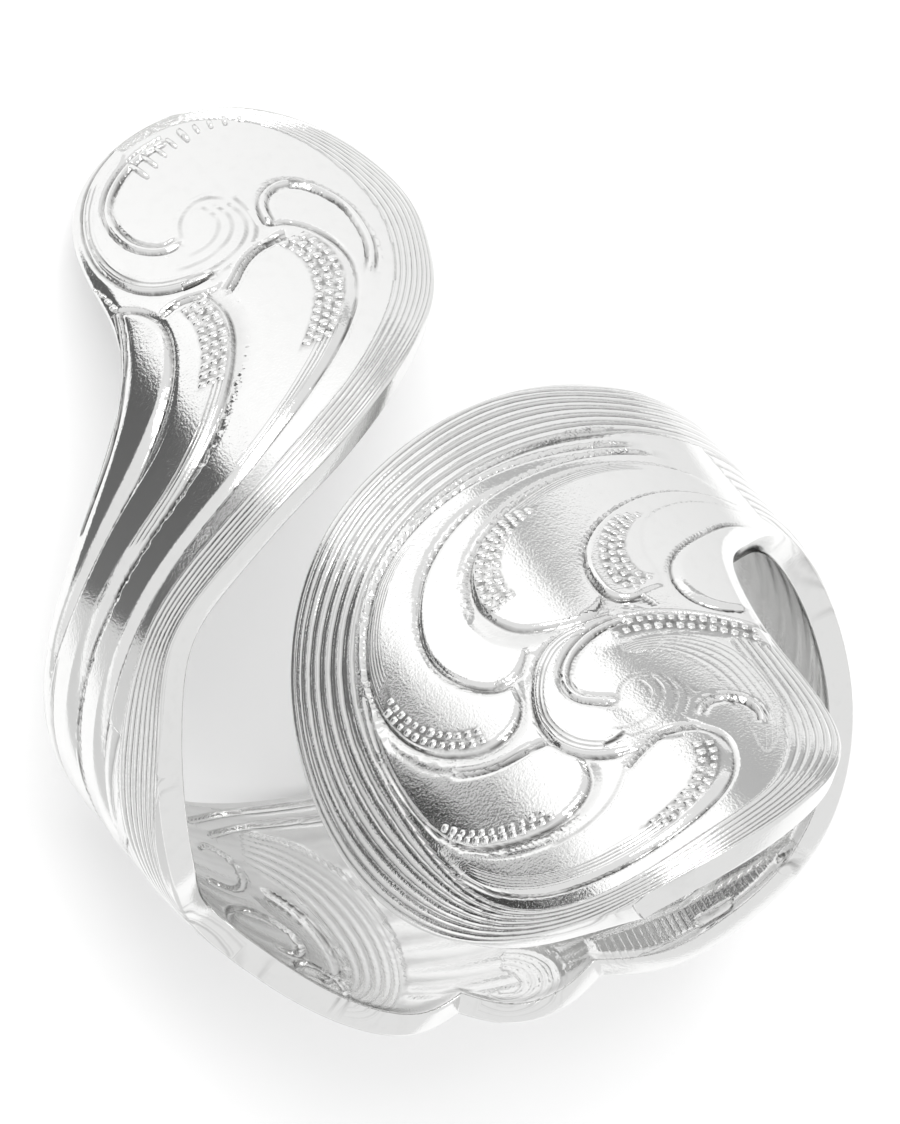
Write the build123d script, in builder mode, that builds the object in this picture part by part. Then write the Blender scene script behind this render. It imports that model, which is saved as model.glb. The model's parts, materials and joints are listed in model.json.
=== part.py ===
"""Wrap ring of polished silver: one stamped strip, wound past a full turn round the finger, with a disc at each end.

The strip is drawn flat. x runs round the ring, counterclockwise seen from the end of the large disc, and z runs
along the finger, from the small disc to the large one. Every flat point is wrapped on a cylinder about Z, and the
finished strip is turned to the way that it lies by itself: on its far rim, with the large disc uppermost.
"""
import os
from math import cos, pi, radians, sin

from build123d import *

# Strip and finger hole, millimetres
finger_bore = 18.0
wall = 0.8
relief_height = 0.22

# Where each disc lies: the angle and the height of its middle, and its reach, which its tables are shares of
small_angle = -23.4
small_height = 6.0
small_reach = 5.0
large_angle = 360.0
large_height = 25.0
large_reach = 10.0

# Band between the discs: its middle climbs from band_low to band_low + band_rise between the two angles
band_width = 10.0
band_low = 12.5
band_rise = 5.0
band_start = 60.0
band_end = 300.0
seam_angle = 178.0

# Raised flutes along the band, which stop short of the seam at the back
flute_width = 0.9
flute_starts = 64.0
flute_ends = 276.0
flute_gap = 3.0
flute_points = 12

# Form of the relief: where a plume is widest, how narrow a tip is left, and how long a ridge's ends are
plume_head = 0.2
plume_tip = 0.16
ridge_end = 0.12
eye_radius = 0.38

# How finely rims and relief are followed: the first step whose outline lies cleanly on the cylinder is taken
rim_steps = (0.2, 0.15, 0.12, 0.1, 0.08)
relief_steps = (0.1, 0.12, 0.09, 0.08, 0.07)
flute_steps = (0.2, 0.15, 0.12, 0.1, 0.08)

inner_radius = finger_bore / 2
outer_radius = inner_radius + wall

# Rims of the small disc and its neck, as shares of small_reach: from the disc's tip to the band
SMALL_FAR = [
    (-0.04, -1.17), (0.36, -1.14), (0.74, -0.94), (0.92, -0.50), (0.98, -0.14), (1.10, 0.12),
    (1.40, 0.38), (1.80, 0.55), (2.40, 0.64),
]
SMALL_NEAR = [
    (-0.04, -1.17), (-0.44, -1.05), (-0.80, -0.76), (-0.98, -0.38), (-0.98, 0.00), (-0.90, 0.24),
    (-0.64, 0.72), (-0.30, 1.06), (0.10, 1.32), (0.50, 1.48), (0.90, 1.55), (1.40, 1.58), (1.90, 1.60),
    (2.20, 1.72),
]

# Rims of the band: angle, and height above the band's middle as a share of band_width
BAND_FAR = [
    (75, -0.37), (100, -0.46), (125, -0.51), (150, -0.515), (178, -0.465), (203, -0.575), (222, -0.53),
    (240, -0.435), (262, -0.35), (283, -0.335),
]
BAND_NEAR_NECK = [(62, 0.34), (75, 0.33), (88, 0.25), (100, 0.24), (112, 0.33), (122, 0.41), (133, 0.44)]
CUSP_AT_NECK = (144, 0.375)
BAND_NEAR_MIDDLE = [(150, 0.455), (157, 0.475), (163, 0.455)]
CUSP_AT_FOOT = (168, 0.42)
BAND_NEAR_FOOT = [
    (178, 0.515), (190, 0.55), (203, 0.56), (215, 0.54), (228, 0.48), (243, 0.38), (258, 0.28), (270, 0.235),
    (281, 0.245),
]

# Rim of the large disc, as shares of large_reach: from the band's far rim, round the disc, to its near rim
LARGE_FAR = [
    (-0.65, -1.10), (-0.30, -1.05), (0.03, -0.94), (0.35, -0.67), (0.53, -0.32), (0.55, 0.02), (0.34, 0.44),
    (0.00, 0.665),
]
LARGE_NEAR = [
    (0.00, 0.665), (-0.30, 0.70), (-0.60, 0.635), (-0.79, 0.49), (-0.855, 0.27), (-0.865, 0.03),
    (-0.90, -0.17), (-0.98, -0.34), (-1.10, -0.42),
]

# Raised plumes: widest measure, then the spine from the round head to the fine tail, all as shares of the reach
SMALL_PLUMES = [
    (0.38, [(0.02, 0.08), (-0.04, 0.28), (0.02, 0.52), (0.18, 0.76), (0.44, 0.98), (0.80, 1.14), (1.30, 1.24),
            (1.90, 1.29), (2.30, 1.29)]),
    (0.17, [(0.34, 0.18), (0.32, 0.36), (0.42, 0.58), (0.64, 0.78), (1.00, 0.94), (1.50, 1.02), (2.30, 1.03)]),
    (0.20, [(0.58, 0.10), (0.58, 0.28), (0.68, 0.48), (0.90, 0.66), (1.20, 0.78), (1.60, 0.86), (2.30, 0.88)]),
    (0.16, [(0.85, -0.04), (0.90, 0.16), (1.06, 0.36), (1.32, 0.52), (1.64, 0.63), (2.00, 0.70)]),
    (0.26, [(0.14, -0.74), (-0.16, -0.78), (-0.50, -0.62), (-0.70, -0.34), (-0.72, 0.00), (-0.60, 0.36),
            (-0.38, 0.70), (-0.08, 0.98), (0.30, 1.20), (0.76, 1.36), (1.30, 1.44), (1.90, 1.47)]),
]
LARGE_PLUMES = [
    (0.13, [(-0.13, -0.19), (-0.09, -0.27), (-0.07, -0.37), (-0.09, -0.48), (-0.16, -0.60), (-0.28, -0.69),
            (-0.45, -0.75), (-0.65, -0.79)]),
    (0.24, [(-0.41, -0.25), (-0.34, -0.34), (-0.32, -0.44), (-0.36, -0.54), (-0.46, -0.62), (-0.60, -0.68),
            (-0.80, -0.71)]),
    (0.12, [(-0.59, -0.23), (-0.59, -0.32), (-0.61, -0.41), (-0.67, -0.49), (-0.78, -0.55), (-0.96, -0.60)]),
    (0.11, [(-0.81, -0.10), (-0.79, -0.19), (-0.80, -0.27), (-0.85, -0.35), (-0.93, -0.43), (-1.05, -0.50)]),
    (0.12, [(-0.11, -0.11), (-0.03, -0.09), (0.05, -0.13), (0.10, -0.20), (0.11, -0.30), (0.09, -0.42),
            (0.03, -0.54), (-0.07, -0.66), (-0.22, -0.77), (-0.44, -0.84), (-0.70, -0.87)]),
    (0.17, [(-0.12, 0.16), (0.01, 0.17), (0.12, 0.12), (0.20, 0.02), (0.245, -0.10), (0.26, -0.22),
            (0.245, -0.35), (0.19, -0.48), (0.11, -0.60)]),
    (0.18, [(-0.46, 0.37), (-0.34, 0.43), (-0.18, 0.45), (-0.02, 0.42), (0.11, 0.35), (0.22, 0.24), (0.29, 0.11)]),
    (0.15, [(-0.56, -0.03), (-0.67, 0.05), (-0.745, 0.17), (-0.75, 0.31), (-0.69, 0.45), (-0.57, 0.55),
            (-0.40, 0.60), (-0.20, 0.61), (0.00, 0.57)]),
]

# Raised ridges of even width: the scrolls, the hooks and the long lines that follow the large disc's rim
SMALL_RIDGES = [
    (0.11, [(0.20, -0.99), (0.46, -0.97), (0.64, -0.84), (0.75, -0.62), (0.77, -0.38), (0.68, -0.16),
            (0.46, -0.04), (0.22, -0.06), (0.05, -0.20), (0.02, -0.38), (0.14, -0.50)]),
    (0.07, [(-0.36, 0.44), (-0.48, 0.22), (-0.53, -0.02), (-0.48, -0.24), (-0.34, -0.36), (-0.18, -0.32),
            (-0.10, -0.16)]),
]
LARGE_RIDGES = [
    (0.080, [(-0.76, -0.04), (-0.64, -0.11), (-0.52, -0.16), (-0.40, -0.175), (-0.29, -0.16), (-0.21, -0.10),
             (-0.175, 0.00), (-0.185, 0.11), (-0.25, 0.19), (-0.36, 0.215), (-0.455, 0.18), (-0.49, 0.09)]),
    (0.035, [(-0.62, 0.34), (-0.655, 0.28), (-0.62, 0.225), (-0.57, 0.205), (-0.53, 0.22), (-0.51, 0.26)]),
    (0.045, [(0.10, 0.59), (0.26, 0.44), (0.40, 0.26), (0.475, 0.07), (0.48, -0.12), (0.44, -0.34),
             (0.34, -0.56), (0.18, -0.74), (-0.02, -0.87), (-0.25, -0.95), (-0.50, -1.00), (-0.78, -1.01)]),
    (0.045, [(0.22, 0.40), (0.33, 0.24), (0.395, 0.06), (0.40, -0.12), (0.36, -0.32), (0.27, -0.51),
             (0.12, -0.68), (-0.08, -0.80), (-0.32, -0.89), (-0.60, -0.93)]),
]
SMALL_EYE = (0.26, -0.36)
LARGE_EYE = (-0.375, 0.075)
BAND_FLUTES = [0.20, 0.40, 0.60, 0.80]

# Where the ring touches what it lies on: the small disc's tip, as a share of its near rim, and two crests of the far rim
tip_zone = (0.0, 0.12)
first_crest = (130.0, 168.0)
second_crest = (186.0, 222.0)
zone_points = 80
rest_rounds = 6


def band_point(angle, share):
    """Flat point on the band: its distance round the ring, and its height."""
    climb = band_rise * (angle - band_start) / (band_end - band_start)
    return (radians(angle) * outer_radius, band_low + climb + share * band_width)


def disc_points(table, angle, height, reach):
    """Flat points of one disc's table, from shares of its reach."""
    middle = radians(angle) * outer_radius
    return [(middle + x * reach, height + z * reach) for x, z in table]


def small(table):
    """Flat points of a table of the small disc."""
    return disc_points(table, small_angle, small_height, small_reach)


def large(table):
    """Flat points of a table of the large disc."""
    return disc_points(table, large_angle, large_height, large_reach)


def on_cylinder(x, z, radius):
    """Wraps one flat point on a cylinder about Z."""
    turn = x / outer_radius
    return Vector(radius * cos(turn), radius * sin(turn), z)


def flat_curve(points):
    """Smooth flat curve through the points."""
    with BuildLine() as line:
        Spline(*points)
    return line.edge()


def end_direction(first, second, third):
    """Direction of a flat curve at its first point, from three points one step apart."""
    return [4 * b - 3 * a - c for a, b, c in zip(first, second, third)]


def wrapped(points, radius):
    """Edge on the cylinder through flat points, which leaves and arrives along the flat curve."""
    tangents = []
    for (x, z), second, third, sense in ((*points[:3], 1), (*points[:-4:-1], -1)):
        run, climb = end_direction((x, z), second, third)
        turn = x / outer_radius
        run *= radius / outer_radius
        tangents.append(Vector(-sin(turn) * run, cos(turn) * run, climb).normalized() * sense)
    places = [on_cylinder(x, z, radius) for x, z in points]
    run_lengths = [0.0]
    for place, following in zip(places, places[1:]):
        run_lengths.append(run_lengths[-1] + (following - place).length)
    return Edge.make_spline(places, tangents=tangents, parameters=run_lengths, scale=False)


def wrapped_edge(curve, radius, step, start=0.0, end=1.0):
    """Edge on the cylinder that follows a flat curve between two shares of its length."""
    steps = max(4, round(curve.length * abs(end - start) / step))
    places = [curve @ (start + (end - start) * i / steps) for i in range(steps + 1)]
    return wrapped([(place.X, place.Y) for place in places], radius)


def split_face(face, edges):
    """Splits a face by a closed ring of edges: the part inside it and the rest, or nothing if it doesn't take."""
    parts = [part for part in face.split_by_perimeter(Wire(edges), Keep.BOTH) if part]
    return sorted(parts, key=lambda part: len(part.edges())) if len(parts) > 1 else []


def cylinder_patch(edges, radius, middle):
    """The part of the cylinder inside a closed ring of edges; its own seam lies opposite to their middle angle."""
    reach = Wire(edges).bounding_box()
    base = Plane(origin=(0, 0, reach.min.Z - wall), x_dir=(-cos(middle), -sin(middle), 0), z_dir=(0, 0, 1))
    drum = Solid.make_cylinder(radius, reach.size.Z + 2 * wall, base)
    return split_face(drum.faces().filter_by(GeomType.CYLINDER)[0], edges)[:1]


def walls_between(low_edges, high_edges):
    """Walls that join matching edges of two patches."""
    return [Face.make_surface_from_curves(low, high) for low, high in zip(low_edges, high_edges)]


def parameter_at_angle(curve, angle):
    """Share of a flat curve's length at which it passes an angle round the ring."""
    low, high = 0.0, 1.0
    for _ in range(40):
        half = (low + high) / 2
        low, high = (half, high) if (curve @ half).X < radians(angle) * outer_radius else (low, half)
    return low


def across(start, end):
    """Flat points of the short line that closes a pad."""
    return [tuple(p + (q - p) * i / 4 for p, q in zip(start, end)) for i in range(5)]


def plume_half_width(share):
    """Half width of a plume along its spine, as a share of its widest half: a round head and a fine tail."""
    if share < plume_head:
        return plume_tip + (1 - plume_tip) * sin(pi / 2 * share / plume_head)
    return plume_tip + (1 - plume_tip) * ((1 - share) / (1 - plume_head)) ** 0.9


def ridge_half_width(share):
    """Half width of a ridge along its spine: even, with both ends drawn in."""
    end = min(share, 1 - share, ridge_end) / ridge_end
    return plume_tip + (1 - plume_tip) * sin(pi / 2 * end)


def pad_outline(spine_points, width, profile, step):
    """Flat outline of a pad: both sides of a spine at a varying half width, and the two short ends."""
    spine = flat_curve(spine_points)
    samples = round(spine.length / step)
    sides = []
    for side in (-1, 1):
        flat = []
        for i in range(samples + 1):
            place, along = spine @ (i / samples), spine % (i / samples)
            reach = side * profile(i / samples) * width / 2
            flat.append((place.X - along.Y * reach, place.Y + along.X * reach))
        sides.append(flat)
    return [sides[0], across(sides[0][-1], sides[1][-1]), sides[1], across(sides[1][0], sides[0][0])]


def eye_outline(middle, step):
    """Flat outline of a scroll's round eye, in two halves."""
    steps = round(pi * eye_radius / step)
    halves = []
    for start in (0, pi):
        turns = [start + pi * i / steps for i in range(steps + 1)]
        halves.append([(middle[0] + eye_radius * cos(t), middle[1] + eye_radius * sin(t)) for t in turns])
    return halves


def disc_relief(place, reach, plumes, ridges, eye, step):
    """Outlines of all that is raised on one disc."""
    outlines = [pad_outline(place(spine), width * reach, plume_half_width, step) for width, spine in plumes]
    outlines += [pad_outline(place(spine), width * reach, ridge_half_width, step) for width, spine in ridges]
    return outlines + [eye_outline(place([eye])[0], step)]


def flute_outlines(start, end, step):
    """Outlines of the flutes that run along the band, each at a share of the width between its rims."""
    outlines = []
    for share in BAND_FLUTES:
        spine = []
        for i in range(flute_points + 1):
            angle = start + (end - start) * i / flute_points
            low = far_rim @ parameter_at_angle(far_rim, angle)
            near_rim = near_rim_at(angle)
            high = near_rim @ parameter_at_angle(near_rim, angle)
            spine.append((low.X, low.Y + (high.Y - low.Y) * share))
        outlines.append(pad_outline(spine, flute_width, ridge_half_width, step))
    return outlines


def with_relief(face, finenesses):
    """The faces of a patch of the strip once its pads stand out of it: what is left of it, pad tops and pad walls."""
    faces = []
    for outlines in zip(*finenesses):
        for outline in outlines:
            low = [wrapped(side, outer_radius) for side in outline]
            high = [wrapped(side, outer_radius + relief_height) for side in outline]
            parts = split_face(face, low)
            top = cylinder_patch(high, outer_radius + relief_height, outline[0][0][0] / outer_radius)
            if parts and top:
                break
        face = parts[1]
        faces += top + walls_between(low, high)
    return faces + [face]


far_rim = flat_curve(small(SMALL_FAR) + [band_point(a, s) for a, s in BAND_FAR] + large(LARGE_FAR))
near_neck_rim = flat_curve(small(SMALL_NEAR) + [band_point(a, s) for a, s in BAND_NEAR_NECK + [CUSP_AT_NECK]])
near_middle_rim = flat_curve([band_point(a, s) for a, s in [CUSP_AT_NECK] + BAND_NEAR_MIDDLE + [CUSP_AT_FOOT]])
near_foot_rim = flat_curve([band_point(a, s) for a, s in [CUSP_AT_FOOT] + BAND_NEAR_FOOT] + large(LARGE_NEAR)[::-1])
far_seam = parameter_at_angle(far_rim, seam_angle)
foot_seam = parameter_at_angle(near_foot_rim, seam_angle)


def near_rim_at(angle):
    """The stretch of the near rim that an angle round the ring falls on."""
    if angle < CUSP_AT_NECK[0]:
        return near_neck_rim
    return near_middle_rim if angle < CUSP_AT_FOOT[0] else near_foot_rim


def small_half(radius, step):
    """Edges of the small disc's half of the strip, the seam last."""
    far = wrapped_edge(far_rim, radius, step, 0.0, far_seam)
    foot = wrapped_edge(near_foot_rim, radius, step, 0.0, foot_seam)
    rims = [far, foot, wrapped_edge(near_middle_rim, radius, step), wrapped_edge(near_neck_rim, radius, step)]
    return rims + [Edge.make_line(far @ 1, foot @ 1)]


def large_half(radius, step):
    """Edges of the large disc's half of the strip, the seam last."""
    far = wrapped_edge(far_rim, radius, step, far_seam, 1.0)
    foot = wrapped_edge(near_foot_rim, radius, step, foot_seam, 1.0)
    return [far, foot, Edge.make_line(far @ 0, foot @ 0)]


def strip_half(edges_at, disc_angle, relief):
    """Faces of half of the strip: outside with its relief, inside, and the walls along its rims."""
    middle = radians(disc_angle + seam_angle) / 2
    for step in rim_steps:
        outside, inside = edges_at(outer_radius, step), edges_at(inner_radius, step)
        outer, inner = cylinder_patch(outside, outer_radius, middle), cylinder_patch(inside, inner_radius, middle)
        if outer and inner:
            break
    return with_relief(outer[0], relief) + inner + walls_between(outside[:-1], inside[:-1])


def lowest(zone, up):
    """The point of a stretch of rim that is lowest along a direction."""
    curve, start, end, radius = zone
    places = [curve @ (start + (end - start) * i / zone_points) for i in range(zone_points + 1)]
    return min((on_cylinder(place.X, place.Y, radius) for place in places), key=lambda point: point.dot(up))


def resting_plane():
    """The plane the ring lies on, with X under the discs."""
    zones = [(near_neck_rim, *tip_zone, inner_radius)]
    for crest in (first_crest, second_crest):
        zones.append((far_rim, *(parameter_at_angle(far_rim, angle) for angle in crest), outer_radius))
    up = Vector(0, 0, 1)
    for _ in range(rest_rounds):
        tip, first, second = (lowest(zone, up) for zone in zones)
        up = (first - tip).cross(second - tip).normalized()
        up = up if up.Z > 0 else -up
    side = Vector(1, 0, 0) - up * up.X
    return Plane(origin=tip, x_dir=side, z_dir=up)


small_relief = [
    disc_relief(small, small_reach, SMALL_PLUMES, SMALL_RIDGES, SMALL_EYE, step)
    + flute_outlines(flute_starts, seam_angle - flute_gap, flute_step)
    for step, flute_step in zip(relief_steps, flute_steps)
]
large_relief = [
    disc_relief(large, large_reach, LARGE_PLUMES, LARGE_RIDGES, LARGE_EYE, step)
    + flute_outlines(seam_angle + flute_gap, flute_ends, flute_step)
    for step, flute_step in zip(relief_steps, flute_steps)
]
small_faces = strip_half(small_half, small_angle, small_relief)
large_faces = strip_half(large_half, large_angle, large_relief)
strip = Solid(Shell(small_faces + large_faces))
lying = resting_plane().to_local_coords(strip)
box = lying.bounding_box()

with BuildPart() as wrap_band:
    with Locations((-box.center().X, -box.center().Y, -box.min.Z)):
        add(lying)

wrap_band.part.label = "wrap_band"
os.makedirs("parts", exist_ok=True)
export_step(wrap_band.part, "parts/wrap_band.step")
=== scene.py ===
"""Looks of a wrap ring of polished silver: one stamped strip, wound a little past a full turn.

A scrolled disc stands at each end of the strip. The strip is drawn flat, in millimetres: x runs round the
ring and z along the finger. Leaves, scrolls and reeds are laid on it as swaths between two edges, and every
flat point is then wrapped round the ring's axis.
"""
import json
import logging
import math
from dataclasses import dataclass, field, fields
from enum import Enum
from functools import partial
from typing import Callable, Iterable, NamedTuple

import bmesh
import bpy
import numpy as np
from mathutils import Matrix, Vector

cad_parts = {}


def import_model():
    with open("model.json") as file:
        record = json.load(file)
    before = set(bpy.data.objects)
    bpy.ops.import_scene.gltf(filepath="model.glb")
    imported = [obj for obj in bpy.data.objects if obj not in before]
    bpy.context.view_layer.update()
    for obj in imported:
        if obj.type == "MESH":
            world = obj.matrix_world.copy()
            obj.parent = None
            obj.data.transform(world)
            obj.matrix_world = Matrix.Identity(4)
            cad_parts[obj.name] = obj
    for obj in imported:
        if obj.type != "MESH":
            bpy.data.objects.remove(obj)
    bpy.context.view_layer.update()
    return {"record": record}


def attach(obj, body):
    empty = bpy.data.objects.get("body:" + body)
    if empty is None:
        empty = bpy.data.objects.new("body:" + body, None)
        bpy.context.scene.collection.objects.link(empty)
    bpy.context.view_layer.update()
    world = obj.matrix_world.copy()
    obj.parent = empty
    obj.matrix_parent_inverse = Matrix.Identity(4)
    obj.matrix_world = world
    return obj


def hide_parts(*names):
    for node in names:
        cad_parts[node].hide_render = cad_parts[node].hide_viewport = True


logger = logging.getLogger("wrap_ring")

MILLIMETRE = 0.001
CAD_NODE = "wrap_band"
SILVER_SLOT = "polished_silver"

# In millimetres: radius that the strip is wrapped at, how far its bare face stands above it, and x of the
# large disc's middle.
OUTER_RADIUS = 9.8
FACE_LEVEL = 0.1
LARGE_MIDDLE = 61.575

Points = list[tuple[float, float]]


class Form(Enum):
    """Cross-section of a swath, from its leading edge to its trailing edge."""

    LEAF = "leaf"
    ROUND = "round"
    REEDS = "reeds"
    LINE = "line"


# Settings of the narrow swaths: a raised ridge, a faint line of painted shade, and a short dark line of
# painted reflection.
RIDGE = {"form": Form.ROUND, "crest": 0.17, "foot": 0.06, "groove": 0.07, "fade": 0.3}
FAINT = {"width": 0.3, "form": Form.LINE, "inking": 0.5, "fade": 0.5}
DARK_REFLECTION = {"width": 0.3, "form": Form.LINE, "inking": 1.3, "fade": 0.15}


def running_length(places: np.ndarray) -> np.ndarray:
    """Distance of each place from the first one, along the line through them."""
    return np.concatenate([[0.0], np.cumsum(np.hypot(*np.diff(places, axis=0).T))])


def smooth_step(low: float, high: float, value: np.ndarray) -> np.ndarray:
    """Rises smoothly from 0 to 1 as a value goes from low to high."""
    share = np.clip((value - low) / (high - low), 0.0, 1.0)
    return share * share * (3.0 - 2.0 * share)


class FlatCurve:
    """Smooth flat curve through points, which can be read at any share of its length."""

    def __init__(self, points: Points, samples: int = 400) -> None:
        """Fits a natural cubic spline.

        Args:
            points: Flat points in millimetres.
            samples: How many places the curve is read at.
        """
        knots = np.array(points, float)
        spans = np.hypot(*np.diff(knots, axis=0).T)
        at = running_length(knots)
        bend = self._second_derivatives(at, knots)
        where = np.linspace(0.0, at[-1], samples)
        span = np.clip(np.searchsorted(at, where, side="right") - 1, 0, len(spans) - 1)
        width = spans[span][:, None]
        right = (where - at[span])[:, None] / width
        left = 1.0 - right
        self._keep(
            left * knots[span] + right * knots[span + 1]
            + ((left**3 - left) * bend[span] + (right**3 - right) * bend[span + 1]) * width**2 / 6.0
        )

    @staticmethod
    def _second_derivatives(at: np.ndarray, knots: np.ndarray) -> np.ndarray:
        """Second derivatives of a natural cubic spline at its knots."""
        count = len(at)
        matrix = np.eye(count)
        target = np.zeros_like(knots)
        step = np.diff(at)
        for i in range(1, count - 1):
            matrix[i, i - 1:i + 2] = step[i - 1] / 6.0, (step[i - 1] + step[i]) / 3.0, step[i] / 6.0
            target[i] = (knots[i + 1] - knots[i]) / step[i] - (knots[i] - knots[i - 1]) / step[i - 1]
        return np.linalg.solve(matrix, target)

    def _keep(self, places: np.ndarray) -> None:
        """Keeps the curve's places and measures it."""
        self.places = places
        self.run = running_length(places)
        self.length = float(self.run[-1])

    def extend(self, *others: "FlatCurve") -> None:
        """Carries the curve on with others, each of which starts where the one before it ends."""
        self._keep(np.concatenate([self.places, *(other.places[1:] for other in others)]))

    def at(self, shares: np.ndarray) -> np.ndarray:
        """Places at shares of the curve's length."""
        run = np.asarray(shares) * self.length
        return np.stack([np.interp(run, self.run, self.places[:, axis]) for axis in (0, 1)], axis=-1)

    def share_near(self, place: tuple[float, float]) -> float:
        """Share of the length at which the curve comes nearest to a place."""
        nearest = int(np.argmin(np.hypot(*(self.places - np.array(place)).T)))
        return float(self.run[nearest] / self.length)


@dataclass
class Surface:
    """What is drawn on the strip at a set of flat points.

    Attributes:
        height: Height above the outer radius, millimetres.
        groove: How far down a groove a point lies, as a share, which the finish paints as shade.
        hatch: How much it belongs to a hatched stretch, as a share; the finish paints shade on its ground.
        lines: How much it belongs to a stretch of fine lines, as a share; the finish paints shade in their
            cuts.
        across: Distance in from its swath's leading edge, millimetres.
        edge: Distance in from the nearest drawn edge, millimetres.
        ink: How dark the painted shade line along that edge is, as a share; on the short dark strokes it is
            a painted reflection.
        reed: How many reeds lie between its field's leading edge and it.
        reeded: How much it belongs to a field of reeds, times how dark the painted shade in its valleys is,
            as a share.
    """

    height: np.ndarray
    groove: np.ndarray
    hatch: np.ndarray
    lines: np.ndarray
    across: np.ndarray
    edge: np.ndarray
    ink: np.ndarray
    reed: np.ndarray
    reeded: np.ndarray

    @classmethod
    def drawn(cls, swaths: list["Swath"], x: np.ndarray, z: np.ndarray) -> "Surface":
        """Draws swaths on the bare face, in order.

        Args:
            swaths: The swaths.
            x: Distances round the ring, millimetres.
            z: Heights, millimetres.

        Returns:
            What is drawn at those points.
        """
        surface = cls(np.full(x.size, FACE_LEVEL), *(np.zeros(x.size) for _ in fields(cls)[1:]))
        for swath in swaths:
            swath.draw(x.ravel(), z.ravel(), surface)
        return surface

    def layers(self) -> dict[str, np.ndarray]:
        """The layers that the finish reads, by name."""
        return {name: layer for name, layer in vars(self).items() if name != "height"}


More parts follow.
